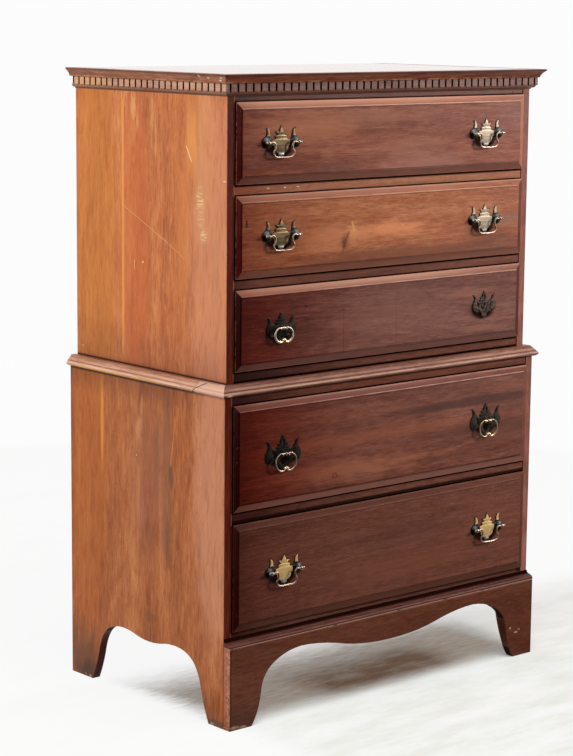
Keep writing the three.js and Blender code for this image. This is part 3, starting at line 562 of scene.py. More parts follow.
def drawer_wood(number):
    """A drawer front: its figure, painted pull shadows, and a border in painted light and shade with worn
    edges.
    """
    low, high = place_of(f"drawer_{number}_front")
    tones, contrast, pulls, top, foot, line, dusk, painted_sheen, worn, shade = DRAWERS[number]
    knot = FRONT_KNOT if number == 2 else None
    wood = Wood(f"drawer_{number}_wood", tones, 40.0 + number * 3, knot=knot, joint=low[2] - 90,
                contrast=contrast, **FRONT_GRAIN)
    wood.blotches((208, 188, 180), 16, 90, number * 4.3, 0.5, 0.72, 0.35)
    wood.mark(*DRAWER_MARKS[number])
    middle, half = (low[2] + high[2]) / 2, (high[2] - low[2]) / 2
    shadows = []
    # Painted shadows of each pull: a soft brown one and a black one close round its plate
    for x in pulls:
        wood.patch((66, 22, 14), middle - 12, x - 8, 32, 58, 0.6, 0.25, 0.95, 8)
        shadows.append(wood.patch(BLACK, middle - 12, x - 3, 23, 44, 0.95, 0.15, 0.4, 8))
    # The bevels: how far a place is from the rim, and on which of the four it lies
    lift = wood.minus(wood.across, middle)
    rise = wood.minus(half, wood.math("ABSOLUTE", lift))
    run = wood.minus(high[0], wood.math("ABSOLUTE", wood.along))
    near = wood.math("MINIMUM", rise, run)
    rim = wood.fade(near, BEVEL - 0.6, BEVEL + 0.6)
    endwise = wood.fade(wood.minus(run, rise), -0.5, 0.5)
    level = wood.fade(wood.minus(rise, run), -0.5, 0.5)
    left, right = wood.halves(wood.along)
    below, above = wood.halves(lift)
    upper = wood.grow(lift, -half / 2, half / 2)
    # Painted sheen towards the right end, on the upper half
    wood.paint((150, 116, 110), wood.grow(wood.along, high[0] - 190, high[0], painted_sheen), upper)
    uneven = wood.fade(wood.noise(9, 40, number * 1.9, 3.0, 0.6), 0.3, 0.62, 0.4, 1.0)
    # Painted light on the bevels: the lower one's colour, the lit upper one and a highlight line near its rim
    wood.paint(foot, rim, level, below, 0.75)
    lit = wood.times(wood.fade(near, 3, BEVEL, 0.9, 0.45), wood.fade(wood.along, 60, 400, 1.0, 0.35))
    wood.paint(top, rim, level, above, lit)
    wood.paint(line, wood.window(near, 1.6, 0.9, 1.2), above, level, uneven, 0.6)
    # Painted sheen on the right bevel, dimmed by its painted shade, and painted shade on the left bevel
    wood.paint(top, rim, endwise, right, 0.4)
    wood.tint((150, 130, 122), rim, right, endwise, shade)
    wood.tint((156, 42, 24), rim, endwise, left, 0.95)
    # A painted highlight line along the inner edge of the upper bevel
    edge = wood.times(wood.window(near, BEVEL, 0.6, 0.9), uneven)
    wood.paint(line, edge, above, level, 0.85)
    # A painted shadow line along the edge of the raised field, darker below
    dark = wood.window(near, BEVEL + 2.2, 0.7, 1.4)
    wood.paint((44, 18, 13), dark, below, level, 0.6)
    wood.paint((60, 24, 16), dark, above, level, 0.35)
    # Painted shade: the left end stays in the dusk, and its very end is darker still
    dim = wood.fade(wood.along, *DUSK_SPAN, dusk)
    dim = wood.times(dim, wood.minus(1.0, wood.times(rim, level, 0.7)))
    if number == 1:
        dim = wood.times(dim, wood.fade(lift, -20, 40, 1.0, 0.2))
    wood.tint((190, 90, 44) if number in (3, 4) else (152, 76, 40), dim)
    wood.tint((170, 130, 116), wood.fade(wood.along, *END_SPAN, 0.6))
    chips = wood.grow(wood.noise(12, 60, number * 2.3, 3.0, 0.65), 0.36, 0.56)
    wood.paint((182, 124, 98), wood.fade(near, 0.5, 1.3), chips, worn)
    wood.paint((214, 158, 128), wood.grow(wood.noise(1.8, 3.2, number * 3.7, 1.0), 0.76, 0.8, 0.5))
    # Painted shadow: nearly black on all that lies behind the border, the edges in the gaps round the front
    behind = wood.grow(wood.depth, low[1] + EDGE_BACK, low[1] + EDGE_BACK + 0.5)
    wood.paint(BLACK, behind)
    return wood.varnish(0.25, 0.25, wood.most(wood.times(rim, 0.85), behind, *shadows))


GAP_SHADE = 5.5  # height of the painted shadow strip of a rail under a drawer
# Each rail's wood and shine, the painted shade of its left end, and where along the rail that has gone
RAILS = {
    "upper_top_rail": (RAIL, 0.2, (150, 90, 62), -250),
    "upper_divider_high": (RAIL_LIGHT, 0.2, (210, 150, 110), -230),
    "upper_divider_low": (RAIL, 0.2, (120, 66, 46), -300),
    "upper_bottom_board": (FRONT_DARK, 0.1, (96, 46, 34), 60),
    "lower_top_board": (RAIL, 0.15, (120, 62, 46), -180),
    "lower_divider": (FRONT_DARK, 0.15, (132, 74, 54), -20),
    "lower_bottom_board": (FRONT_DARK, 0.1, (150, 90, 62), -230),
}


def rail_wood(name):
    """A rail with painted shadow where the drawer above and the one below meet it."""
    low, high = place_of(name)
    tones, level, shade, end = RAILS[name]
    wood = Wood(name + "_wood", tones, 61.0, contrast=0.9, bend=3, heart=190, slope=0.03)
    # Painted shade at the left end
    wood.tint(shade, wood.fade(wood.along, FRONT_LEFT, end, 0.95))
    if name == "upper_divider_high":
        wood.mark(*((NICK, high[2] - 9, x, 1.4, 4, 0.8, 0.4, 0.4, 4) for x in (-312, -269, -235)))
    if name == "upper_top_rail":
        wood.patch((16, 8, 6), 1231, 368, 3.4, 3, 0.95, 0.1, 0.3)
    # Painted shadow strips at the top and foot of the rail, or just above and under the waist moulding
    upper = wood.grow(wood.across, high[2] - GAP_SHADE, high[2] - 2, 0.97)
    lower = wood.fade(wood.across, low[2], low[2] + 2.5, 0.9)
    if name == "lower_divider":
        lower = wood.fade(wood.across, low[2] + 4, low[2] + 9, 0.9)
    if name == "upper_bottom_board":
        lower = wood.fade(wood.across, WAIST_TOP + 2.5, WAIST_TOP + 6, 0.95)
    if name == "lower_top_board":
        upper = wood.grow(wood.across, high[2] - 6, high[2] - 3.5, 0.95)
    wood.paint(BLACK, upper)
    wood.paint(BLACK, lower)
    return wood.varnish(0.36, level, wood.most(upper, lower))


def crown_wood(name, tones, along):
    """The crown moulding, worn on its lower edge and chipped at the corner."""
    low, high = place_of(name)
    wood = Wood(name + "_wood", tones, 85.0, along, contrast=1.2, **MOULDING_GRAIN)
    wood.blotches((196, 160, 140), 12, 90, 5.2, 0.48, 0.66, 0.6)
    wood.worn_line((206, 150, 108), wood.across, low[2] + 1.5, 1.2, 1.2, 0.5, 0.4, 3.3)
    wood.worn_line((70, 34, 24), wood.across, high[2] - 2.0, 1.0, 1.5, 0.3, 0.6, 6.3)
    if along == "Y":
        for chip in ((1269, -250), (1272, -236), (1267, -229), (1271, -196), (1274, -172)):
            wood.patch((244, 226, 208), *chip, 2.2, 4, 0.8, 0.4, 0.4, 4)
    return wood.varnish(0.3, 0.16)


DENTIL_BAND = 15.2  # height of the blocks and notches


def dentil_wood(name, tones, along, outer):
    """Dentil blocks with notches in nearly black painted shade; outer is the place of their faces in depth.
    """
    low, high = place_of(name)
    wood = Wood(name + "_wood", tones, 82.0, along, contrast=1.1, **MOULDING_GRAIN)
    if along == "Y":
        wood.paint((220, 164, 104), wood.grow(wood.along, 60, 240, 0.5))
    inward = wood.math("ABSOLUTE", wood.minus(wood.depth, outer))
    band = wood.grow(wood.across, high[2] - DENTIL_BAND, high[2] - DENTIL_BAND + 0.5)
    notch = wood.times(wood.grow(inward, 0.7, 1.5, 0.97), band)
    bed = wood.minus(1.0, band)
    wood.paint((116, 66, 44), bed, 0.6)
    wood.paint((70, 34, 22), wood.fade(wood.across, low[2], low[2] + 4, 0.7), bed)
    # Painted shade in the notches
    wood.paint(BLACK, notch)
    return wood.varnish(0.34, 0.14, notch)


WAIST_LINES = ((677.5, 1.0, 2.0, 0.5), (670.5, 1.0, 1.8, 0.85))  # painted highlight lines: height, half width, edge, strength
WAIST_CRACKS = (((WAIST_TOP, -187), (673, -163)), ((676, -167), (660, -150)))


def waist_wood(name, tones, along, light):
    """A length of the waist moulding with painted highlight and shade lines; the left one is cracked near its
    front end.
    """
    low = place_of(name)[0]
    wood = Wood(name + "_wood", tones, 83.0, along, contrast=0.9, **MOULDING_GRAIN)
    wood.blotches((214, 190, 176), 8, 50, 4.4, 0.46, 0.66, 0.5)
    uneven = wood.fade(wood.noise(8, 60, 2.7, 3.0, 0.6), 0.3, 0.6, 0.35, 1.0)
    # Painted highlight lines along the profile, and painted shade lines between them and at the foot
    for place, half, soft, strength in WAIST_LINES:
        wood.paint(light, wood.window(wood.across, place, half, soft), uneven, strength)
    wood.paint(tones[0], wood.window(wood.across, 674.3, 0.3, 0.9), 0.55)
    wood.paint(tones[0], wood.fade(wood.across, low[2] + 3, low[2] + 5.5, 0.7))
    if along == "X":
        wood.patch(NICK, 667, -425, 2.2, 9, 0.8, 0.5, 0.5, 4)
        wood.patch(BLACK, 664.5, -396, 1.6, 16, 0.9, 0.4, 0.4, 4)
    if name.endswith("left"):
        sunlit = wood.window(wood.across, 665.5, 1.6, 2.5)
        glow = wood.times(sunlit, wood.fade(wood.along, -120, 60, 0.1, 1.0))
        ragged = wood.fade(wood.noise(6, 30, 8.8, 3.0, 0.6), 0.36, 0.56, 0.3, 1.0)
        wood.paint((236, 176, 92), glow, ragged, 0.85)
        wood.paint((226, 182, 158), wood.fade(wood.along, -168, -160, 0.55))
        for start, end in WAIST_CRACKS:
            wood.scratch((40, 16, 8), start, end, 0.7, 0.9)
    return wood.varnish(0.36, 0.14)


APRON_CHIPS = ((55, 383, 3, 7), (67, 364, 3, 3), (60, 392, 2, 3), (6, -420, 4, 14), (4, -395, 3, 12))


def apron_wood():
    """The apron; the end of its board, at the left, has worn to the colour of the case's side."""
    low = place_of("front_apron")[0]
    wood = Wood("apron_wood", APRON, 71.0, contrast=0.6)
    end = wood.fade(wood.along, low[0] + 0.5, low[0] + 1.2, 0.85)
    wood.paint((168, 100, 68), end)
    worn = wood.grow(wood.noise(6, 6, 6.1, 3.0, 0.65), 0.42, 0.6, 0.7)
    wood.paint((214, 160, 128), end, worn, wood.fade(wood.depth, low[1] + 4, low[1] + 16, 1.0, 0.2))
    wood.paint((44, 24, 18), wood.window(wood.along, low[0] + 2.6, 0.9, 1.4), 0.6)
    for chip in APRON_CHIPS:
        wood.patch(NICK, *chip, 0.5, 0.9, 0.6, 2)
    wood.tint((176, 152, 132), wood.fade(wood.across, 2, 46, 0.4))
    return wood.varnish(0.36, 0.14)


def base_moulding_wood():
    low, high = place_of("base_moulding")
    wood = Wood("base_moulding_wood", BASE, 74.0, contrast=0.9)
    wood.worn_line((200, 150, 122), wood.across, low[2] + 0.9, 0.6, 0.9, 0.36, 0.75, 7.7)
    wood.paint((60, 28, 18), wood.window(wood.across, low[2] + 3.2, 0.3, 1.2), 0.6)
    # Painted shadow of the gap under the lowest drawer, along the top
    gap = wood.grow(wood.across, high[2] - 7.5, high[2] - 5.5, 0.97)
    wood.paint(BLACK, gap)
    return wood.varnish(0.4, 0.1, gap)


# Woods without marks: tones, seed, along, across, contrast, roughness and shine
PLAIN_WOODS = {
    "top_wood": (SIDE, 33.0, "X", "Y", 1.1, 0.03, 0.8),
    "stile_right_wood": (STILE_RIGHT, 89.0, "Z", "X", 1.1, 0.36, 0.1),
    "sawn_wood": (SAWN_SHADE, 90.0, "Z", "Y", 1.1, 0.6, 0.05),
    "stile_wood": (STILE, 88.0, "Z", "X", 1.1, 0.36, 0.1),
    "inner_wood": (INNER, 91.0, "Y", "Z", 0.5, 0.6, 0.2),
    "upper_right_wood": (SIDE, 21.0, "Z", "Y", 1.1, 0.28, 0.28),
    "lower_right_wood": (SIDE_LOW, 27.0, "Z", "Y", 1.1, 0.28, 0.28),
}
RIGHT_GRAIN = {"board": 120, "joint": 105, "ring_width": 9, "stretch": 1.6}
PLAIN_GRAIN = {"top_wood": {"board": 130}, "upper_right_wood": RIGHT_GRAIN, "lower_right_wood": RIGHT_GRAIN}


def plain_wood(name):
    tones, seed, along, across, contrast, rough, level = PLAIN_WOODS[name]
    wood = Wood(name, tones, seed, along, across, contrast=contrast, **PLAIN_GRAIN.get(name, {}))
    return wood.varnish(rough, level)


def build_woods():
    """The material of each wooden node, and of the front edges of the cases' sides."""
    woods = {
        "upper_side_left": upper_left_wood(), "lower_side_left": lower_left_wood(),
        "upper_side_right": plain_wood("upper_right_wood"),
        "lower_side_right": plain_wood("lower_right_wood"),
        "upper_top_board": plain_wood("top_wood"),
        "front_apron": apron_wood(), "base_moulding": base_moulding_wood(),
    }
    for number in DRAWERS:
        woods[f"drawer_{number}_front"] = drawer_wood(number)
    for name in RAILS:
        woods[name] = rail_wood(name)
    for side, along, edge, axis in (("left", "Y", 0, 0), ("right", "Y", 1, 0), ("front", "X", 0, 1)):
        front = side == "front"
        crown, dentil, waist = "crown_" + side, "dentil_" + side, "waist_moulding_" + side
        face = place_of(dentil)[edge][axis]
        # The colours of the waist mouldings' painted highlight lines
        light = (206, 158, 136) if front else (234, 192, 164)
        woods[crown] = crown_wood(crown, CROWN_FRONT if front else CROWN_SIDE, along)
        woods[dentil] = dentil_wood(dentil, BLOCK_FRONT if front else BLOCK_SIDE, along, face)
        woods[waist] = waist_wood(waist, MOULDING_FRONT if front else MOULDING_SIDE, along, light)
    for name in ("stile_right", "sawn", "stile", "inner"):
        woods[name] = plain_wood(name + "_wood")
    return woods


# Each metal's colour, tarnish, roughness and share of metal, and where they differ from the usual:
# how much is tarnished, the shine, and the colour of the painted shade on what faces down
METALS = {
    "plate_olive": ((122, 96, 62), (84, 68, 44), 0.42, 0.6),
    "plate_cream": ((178, 158, 134), (146, 126, 104), 0.5, 0.45),
    "plate_gold": ((238, 198, 130), (204, 164, 106), 0.42, 0.4),
    # The wings: a darker, greyer copy of the plates' brass as painted reflection, with painted shade below
    "wing_slate": ((106, 110, 108), (54, 56, 54), 0.5, 0.3, 0.6, 0.12, (12, 8, 6)),
    "bail_cream": ((190, 160, 140), (136, 112, 98), 0.34, 0.8),
    "post_cream": ((190, 176, 160), (90, 80, 72), 0.3, 0.8),
    "plate_foot": ((190, 188, 180), (140, 136, 126), 0.35, 0.7),
    # The plates' edges and the film round them: dark patina with painted shadow
    "plate_edge": ((54, 40, 28), (24, 18, 14), 0.6, 0.3),
    "plate_bronze": ((34, 26, 21), (9, 7, 6), 0.5, 0.3, 0.5, 0.1),
    "plate_green": ((56, 46, 38), (22, 16, 13), 0.5, 0.35, 0.5, 0.15),
    "plate_worn": ((84, 66, 56), (34, 25, 20), 0.5, 0.4, 0.9, 0.2),
    "ring_pale": ((236, 214, 188), (196, 168, 140), 0.28, 0.8, 0.4),
    "ring_pink": ((190, 166, 150), (130, 108, 94), 0.3, 0.8),
    "ring_beads": ((250, 232, 190), (226, 202, 150), 0.25, 0.6, 0.3),
    "ring_yellow": ((206, 176, 132), (118, 96, 72), 0.3, 0.8),
}


def metal(name, colour, tarnish, rough, metallic, share=0.5, level=0.5, shade_below=None):
    """A metal with cloudy tarnish."""
    surface = Surface(name)
    cloud = surface.noise(7, 7, 3.3, 3.0, 0.6)
    tarnished = surface.grow(cloud, 0.36, 0.66, share)
    surface.colour = surface.mix(tarnished, linear(colour), linear(tarnish))
    if shade_below:
        # Painted shade on what faces down
        up = surface.node("SeparateXYZ", {0: surface.node("NewGeometry").outputs["Normal"]}).outputs["Z"]
        surface.paint(shade_below, surface.fade(up, 0.02, 0.4))
    gloss = surface.scaled(cloud, METAL_GLOSS, rough - METAL_GLOSS / 2)
    return surface.finish(gloss, level, surface.noise(0.8, 0.8, 8.1, 1.0), *METAL_RELIEF, metallic)


# Light: white surroundings, soft lamps and a dark card that only reflections see

AMBIENT = 0.2
BACKGROUND = (0.975, 0.975, 0.975)


def add_world():
    world = bpy.data.worlds.new("world")
    bpy.context.scene.world = world
    sky = Graph(world)
    ambient = sky.tree.nodes["Background"]
    sky.fill(ambient, {"Color": (1, 1, 1), "Strength": AMBIENT})
    white = sky.node("Background", {"Color": BACKGROUND})
    mix = sky.node("MixShader", {0: sky.seen(), 1: ambient.outputs[0], 2: white.outputs[0]})
    sky.feed(sky.tree.nodes["World Output"].inputs["Surface"], mix.outputs[0])


# Place, target, size and watts; the last lamp lights the floor only, the others all but the floor
LAMPS = {
    "key_right_front": ((3.4, -3.0, 2.2), (0, 0, 0.8), (1.1, 1.0), 160),
    "fill_left": ((-3.6, 0.9, 2.2), (0, 0, 0.6), (2.6, 2.4), 128),
    "top": ((0.3, -1.2, 3.8), (0, 0, 0), (2.6, 2.6), 30),
    "floor_light": ((-0.5, -1.3, 4.2), (0, 0, 0), (2.2, 2.2), 172),
}


def add_softbox(floor, name, place, target, size, watts):
    data = bpy.data.lights.new(name, "AREA")
    data.shape = "RECTANGLE"
    data.size, data.size_y = size
    data.energy = watts
    lamp = add_object(name, data)
    lamp.location = place
    lamp.rotation_euler = (Vector(target) - Vector(place)).to_track_quat("-Z", "Y").to_euler()
    lit = bpy.data.collections.new(name + "_lights")
    lit.objects.link(floor)
    lit.collection_objects[0].light_linking.link_state = "INCLUDE" if name == "floor_light" else "EXCLUDE"
    lamp.light_linking.receiver_collection = lit


FLOOR_REACH = 8
FLOOR_FADE = (1.6 * METRE, 2.6 * METRE)
FLOOR_BOUNCE = (0.35, 0.34, 0.33)  # what the floor throws back on the object
# Where the floor's painted white glow lightens the shadow under the chest, from start to end, and how much at
# most
GLOW_BACK = (-150, 200, 0.95)
GLOW_LEFT = (-440, -300, 0.92)
GLOW_FRONT = (-310, -235, 0.4)
GLOW_RIGHT = (400, 520, 0.6)
GLOW_LEAST = 0.34
RAGGED = 120.0  # how far the strokes of the floor shift that


def add_floor():
    """A pale, brushed floor that goes over into the white background."""
    bpy.ops.mesh.primitive_plane_add(size=2 * FLOOR_REACH)
    floor = bpy.context.object
    floor.name = "floor"
    surface = Surface("floor_paint", along="X", across="Y")
    wash = surface.noise(60, 200, 5.1, 6.0, 0.7)
    strokes = surface.noise(7, 50, 9.4, 4.0, 0.6)
    whites = [(0.3, (232, 232, 224)), (0.5, (242, 243, 239)), (0.7, (250, 250, 249))]
    surface.colour = surface.ramp(wash, whites)
    # Painted shade under the front of the chest, warm and streaked, and darkest in its middle
    run = surface.window(surface.along, 20, 380, 70)
    wide = surface.window(surface.across, -60, 90, 110)
    surface.paint((218, 192, 168), run, wide, surface.fade(strokes, 0.36, 0.6, 0.95, 0.5))
    middle = surface.window(surface.along, 70, 130, 120)
    core = surface.window(surface.across, -135, 40, 80)
    surface.paint((148, 112, 88), middle, core, surface.fade(wash, 0.36, 0.64, 0.95, 0.5))
    diffuse = surface.node("LightPath").outputs["Is Diffuse Ray"]
    bounced = surface.mix(diffuse, surface.colour, FLOOR_BOUNCE)
    surface.fill(surface.shader, {"Base Color": bounced, "Roughness": 0.7, "Specular IOR Level": 0.1})
    # The floor's own shading shows in the shadow most; elsewhere it glows white as painted light and goes
    # over into the white background
    ragged = surface.scaled(strokes, RAGGED, -RAGGED / 2)
    across, along = (surface.plus(place, ragged) for place in (surface.across, surface.along))
    back = surface.grow(across, *GLOW_BACK)
    left = surface.fade(along, *GLOW_LEFT)
    front = surface.fade(surface.across, *GLOW_FRONT)
    right = surface.grow(surface.along, *GLOW_RIGHT)
    aside = surface.most(back, left)
    far = surface.grow(surface.length(surface.along, surface.across, 0.0), *FLOOR_FADE)
    white = surface.mix(surface.most(far, aside), surface.colour, BACKGROUND)
    white = surface.node("Emission", {"Color": white})
    share = surface.times(surface.most(far, aside, front, right, GLOW_LEAST), surface.seen())
    mix = surface.node("MixShader", {0: share, 1: surface.shader.outputs[0], 2: white.outputs[0]})
    surface.feed(surface.tree.nodes["Material Output"].inputs["Surface"], mix.outputs[0])
    floor.data.materials.append(surface.material)
    return floor


CARD_REACH = 3.2
CARD_FOOT = 0.5
CARD_HEIGHT = 3.2
CARD_SPAN = (math.radians(-80), math.radians(41))
CARD_FLOOR_SPAN = (math.radians(-80), math.radians(62))
CARD_STEPS = 12
CARD_COLOUR = (0.004, 0.004, 0.004)


def add_card():
    """Black cards, upright round the left and front and on the floor, seen in reflections only."""
    wall = (CARD_SPAN, (CARD_REACH, 0), (CARD_REACH, CARD_HEIGHT))
    ground = (CARD_FLOOR_SPAN, (CARD_FOOT, 2 * MM), (CARD_REACH, 2 * MM))
    corners = []
    for span, near, far in (wall, ground):
        for turn in spread(*span, CARD_STEPS):
            corners += [(reach * math.sin(turn), -reach * math.cos(turn), z) for reach, z in (near, far)]
    starts = [2 * i for i in range(2 * CARD_STEPS + 1) if i != CARD_STEPS]
    mesh = bpy.data.meshes.new("dark_card")
    mesh.from_pydata(corners, [], [(i, i + 2, i + 3, i + 1) for i in starts])
    card = add_object("dark_card", mesh)
    black = Surface("card_black")
    black.fill(black.shader, {"Base Color": CARD_COLOUR, "Specular IOR Level": 0})
    mesh.materials.append(black.material)
    for kind in ("camera", "diffuse", "transmission", "volume_scatter", "shadow"):
        setattr(card, "visible_" + kind, False)


# Shapes

WELD = 0.01 * MM
FLAT = math.radians(0.3)
SHARP = math.radians(28)
# Shares of a face's direction that tell how it faces
BACK_EDGE = 0.9999
FRONTAL = 0.7
ASIDE = 0.5
SIDEWAYS = 0.9
DOWNWARD = 0.3


def take_place(piece, node, materials):
    """The piece wears the materials and stands for a node, on the node's body."""
    for finish in materials:
        piece.data.materials.append(finish)
    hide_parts(node)
    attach(piece, frame["nodes"][node]["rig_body"])


def eased(node, radius, materials, number_of):
    """A node's own board with its sharp edges rounded a little; number_of picks each face's material."""
    shape = bmesh.new()
    shape.from_mesh(frame["nodes"][node].data)
    bmesh.ops.remove_doubles(shape, verts=shape.verts, dist=WELD)
    bmesh.ops.dissolve_limit(shape, angle_limit=FLAT, verts=shape.verts, edges=shape.edges)
    for face in shape.faces:
        face.material_index = number_of(face.normal)
    sharp = [edge for edge in shape.edges if edge.is_manifold and edge.calc_face_angle() > SHARP]
    bmesh.ops.bevel(shape, geom=sharp, offset=radius, offset_type="OFFSET", segments=2,
                    profile=0.5, affect="EDGES", clamp_overlap=True)
    for face in shape.faces:
        face.smooth = True
    mesh = bpy.data.meshes.new(node + "_eased")
    shape.to_mesh(mesh)
    shape.free()
    mesh.set_sharp_from_angle(angle=SHARP)
    piece = add_object(node + "_eased", mesh)
    weighted = piece.modifiers.new("normals", "WEIGHTED_NORMAL")
    weighted.keep_sharp = True
    take_place(piece, node, materials)


def side_face(normal):
    """A side board's faces: 0 flat or straight back edge, 1 front edge, 2 sawn foot."""
    if normal.y < -FRONTAL:
        return 1
    if normal.y > BACK_EDGE:
        return 0
    return 2 if abs(normal.x) < ASIDE and normal.z < DOWNWARD else 0


def apron_face(normal):
    """The apron's faces: 0 flat or end, 1 sawn edge."""
    return 1 if abs(normal.y) < ASIDE and normal.z < DOWNWARD and abs(normal.x) < SIDEWAYS else 0


def plain_face(normal):
    return 0


# Pulls, in millimetres round the middle of each: across, forward (as minus y) and up

PLATE_THICKNESS = 1.6
PLATE_BEVEL = 0.4
HALO_THICKNESS = 0.2
HALO = 1.3  # how far a dark film reaches round a plate: old polish built up, and painted shadow
POST_SPACING = 76.2
PIVOT_REACH = 8.5  # front of a plate to the axis of its bail or ring
PIVOT = -PLATE_THICKNESS - PIVOT_REACH
HEAD_RADIUS = 4.2
BORE_RADIUS = 2.15
NECK_END = 5.5
POST_PROFILE = [(0, -0.8), (5.2, -0.8), (5.2, 0.9), (4.9, 1.3), (4.2, 1.5), (3.2, 1.9), (2.6, 2.6),
                (2.6, NECK_END), (0, NECK_END)]
CURVE_STEPS = 7
WIRE_STEPS = 6
TURN_STEPS = 24
WIRE_SIDES = 14
WIRE_RADIUS = 1.85
DOME_PLACE = -0.6  # below the middle of its post
DOME_RADIUS = 10.4
DOME_HEIGHT = 2.6
DOME_STEPS = 9
BATWING_REACH = 46.5
BATWING_TOP = 0.667
BATWING_FOOT = 0.551
BATWING = [
    (0.043, 0.581, 0.099, 0.484), (0.112, 0.452, 0.116, 0.422), (0.194, 0.441, 0.301, 0.43),
    (0.226, 0.376, 0.176, 0.305), (0.237, 0.284, 0.333, 0.254), (0.28, 0.204, 0.312, 0.146),
    (0.43, 0.075, 0.548, 0.146), (0.62, 0.215, 0.62, 0.366), (0.62, 0.545, 0.785, 0.585),
    (0.748, 0.516, 0.757, 0.398), (0.763, 0.28, 0.849, 0.215), (1, 0.129, 1, -0.022),
    (1, -0.204, 0.839, -0.232), (0.677, -0.237, 0.581, -0.14), (0.484, -0.075, 0.391, -0.151),
    (0.398, -0.301, 0.269, -0.387), (0.172, -0.43, 0.142, -0.452), (0.183, -0.505, 0.097, -0.538),
    (0.043, -0.551, 0, -BATWING_FOOT),
]
BAIL_DROP = 28.6
BAIL = [(1.154, 0), (0.98, 0.05), (0.82, -0.05), (0.755, -0.25), (0.79, -0.45), (0.905, -0.6),
        (0.885, -0.79), (0.75, -0.93), (0.52, -0.99), (0, -1)]
BAIL_BALL = 2.7
BAIL_END = POST_SPACING / 2 + HEAD_RADIUS + 0.4
BALL_PLACE = BAIL_END + 1.2
PIERCED_TOP = 0.78
PIERCED_FOOT = 0.8
PIERCED = [
    (0.074, 0.745, 0.051, 0.685), (0.137, 0.62, 0.154, 0.52), (0.16, 0.455, 0.183, 0.425),
    (0.229, 0.45, 0.3, 0.43), (0.251, 0.371, 0.24, 0.314), (0.314, 0.314, 0.371, 0.269),
    (0.32, 0.217, 0.343, 0.171), (0.471, 0.129, 0.571, 0.214), (0.66, 0.3, 0.69, 0.4),
    (0.73, 0.54, 0.9, 0.58), (0.83, 0.47, 0.823, 0.35), (0.823, 0.271, 0.9, 0.171),
    (1.029, 0, 0.989, -0.186), (0.943, -0.386, 0.757, -0.4), (0.643, -0.394, 0.586, -0.3),
    (0.457, -0.314, 0.357, -0.429), (0.271, -0.537, 0.157, -0.571), (0.246, -0.614, 0.206, -0.7),
    (0.149, -0.786, 0, -PIERCED_FOOT),
]
# Openings: from a point over a bend to a point, and back over another bend
FINIAL_SLOT = (0, 0.63, 0.12, 0.46, 0, 0.28, -0.12, 0.46)
SIDE_SLOT = (0.65, 0.17, 0.57, -0.02, 0.49, -0.2, 0.43, 0.02)
MIDDLE_SLOT = (0, -0.13, 0.4, -0.22, 0, -0.58, -0.4, -0.22)
LOW_SLOT = (0.27, -0.05, 0.3, -0.28, 0.08, -0.36, 0.19, -0.22)
DOT_SLOT = (0, -0.44, 0.09, -0.49, 0, -0.54, -0.09, -0.49)
RING = [(0.1, -0.9), (0.24, -0.99), (0.6, -0.97), (0.92, -0.76), (1, -0.46), (0.88, -0.17), (0.56, 0.01),
        (0.3, 0.02)]
RING_HEAD_RADIUS = 3.3
RING_TOP = 0.19
# The beads at the foot of a ring and at its shoulders: shares of its reach and drop, radius, metal
RING_BEADS = [(-0.13, -0.87, 2.8, 1), (0, -0.82, 2.8, 1), (0.13, -0.87, 2.8, 1), (-0.3, -0.07, 1.7, 0),
              (0.3, -0.07, 1.7, 0)]
RING_SWELL = (0.1, 0.6)  # from what share of its drop on, and over what share, a ring gets thicker
LOST_POST_RADIUS = 2.4


def weighed(points, weights):
    return tuple(sum(w * p[i] for w, p in zip(weights, points)) for i in (0, 1))


def bent(*points):
    """Points of a quadratic curve from the first point past the second to the third, without its start."""
    ts = spread(0, 1, CURVE_STEPS)[1:]
    return [weighed(points, ((1 - t) ** 2, 2 * t * (1 - t), t * t)) for t in ts]


def through(points):
    """Points of a smooth curve through the given ones."""
    line = [points[0], *points, points[-1]]
    smooth = [points[0]]
    for four in zip(line, line[1:], line[2:], line[3:]):
        for t in spread(0, 1, WIRE_STEPS)[1:]:
            smooth.append(weighed(four, (
                (-t + 2 * t ** 2 - t ** 3) / 2, (2 - 5 * t ** 2 + 3 * t ** 3) / 2,
                (t + 4 * t ** 2 - 3 * t ** 3) / 2, (t ** 3 - t ** 2) / 2,
            )))
    return smooth


def mirrored_outline(top, rows, size):
    """A closed outline from curves in shares of a size, down one half and up the other."""
    points = [(0, top)]
    for bend_x, bend_z, x, z in rows:
        points += bent(points[-1], (bend_x, bend_z), (x, z))
    points += [(-x, z) for x, z in reversed(points[1:-1])]
    return [(x * size, z * size) for x, z in points]


def slot_outline(slot, size, side=1):
    start, out, end, back = (slot[i:i + 2] for i in (0, 2, 4, 6))
    return [(x * size * side, z * size) for x, z in bent(start, out, end) + bent(end, back, start)]


def circle(radius, steps=TURN_STEPS):
    turns = [math.tau * i / steps for i in range(steps)]
    return [(radius * math.cos(turn), radius * math.sin(turn)) for turn in turns]


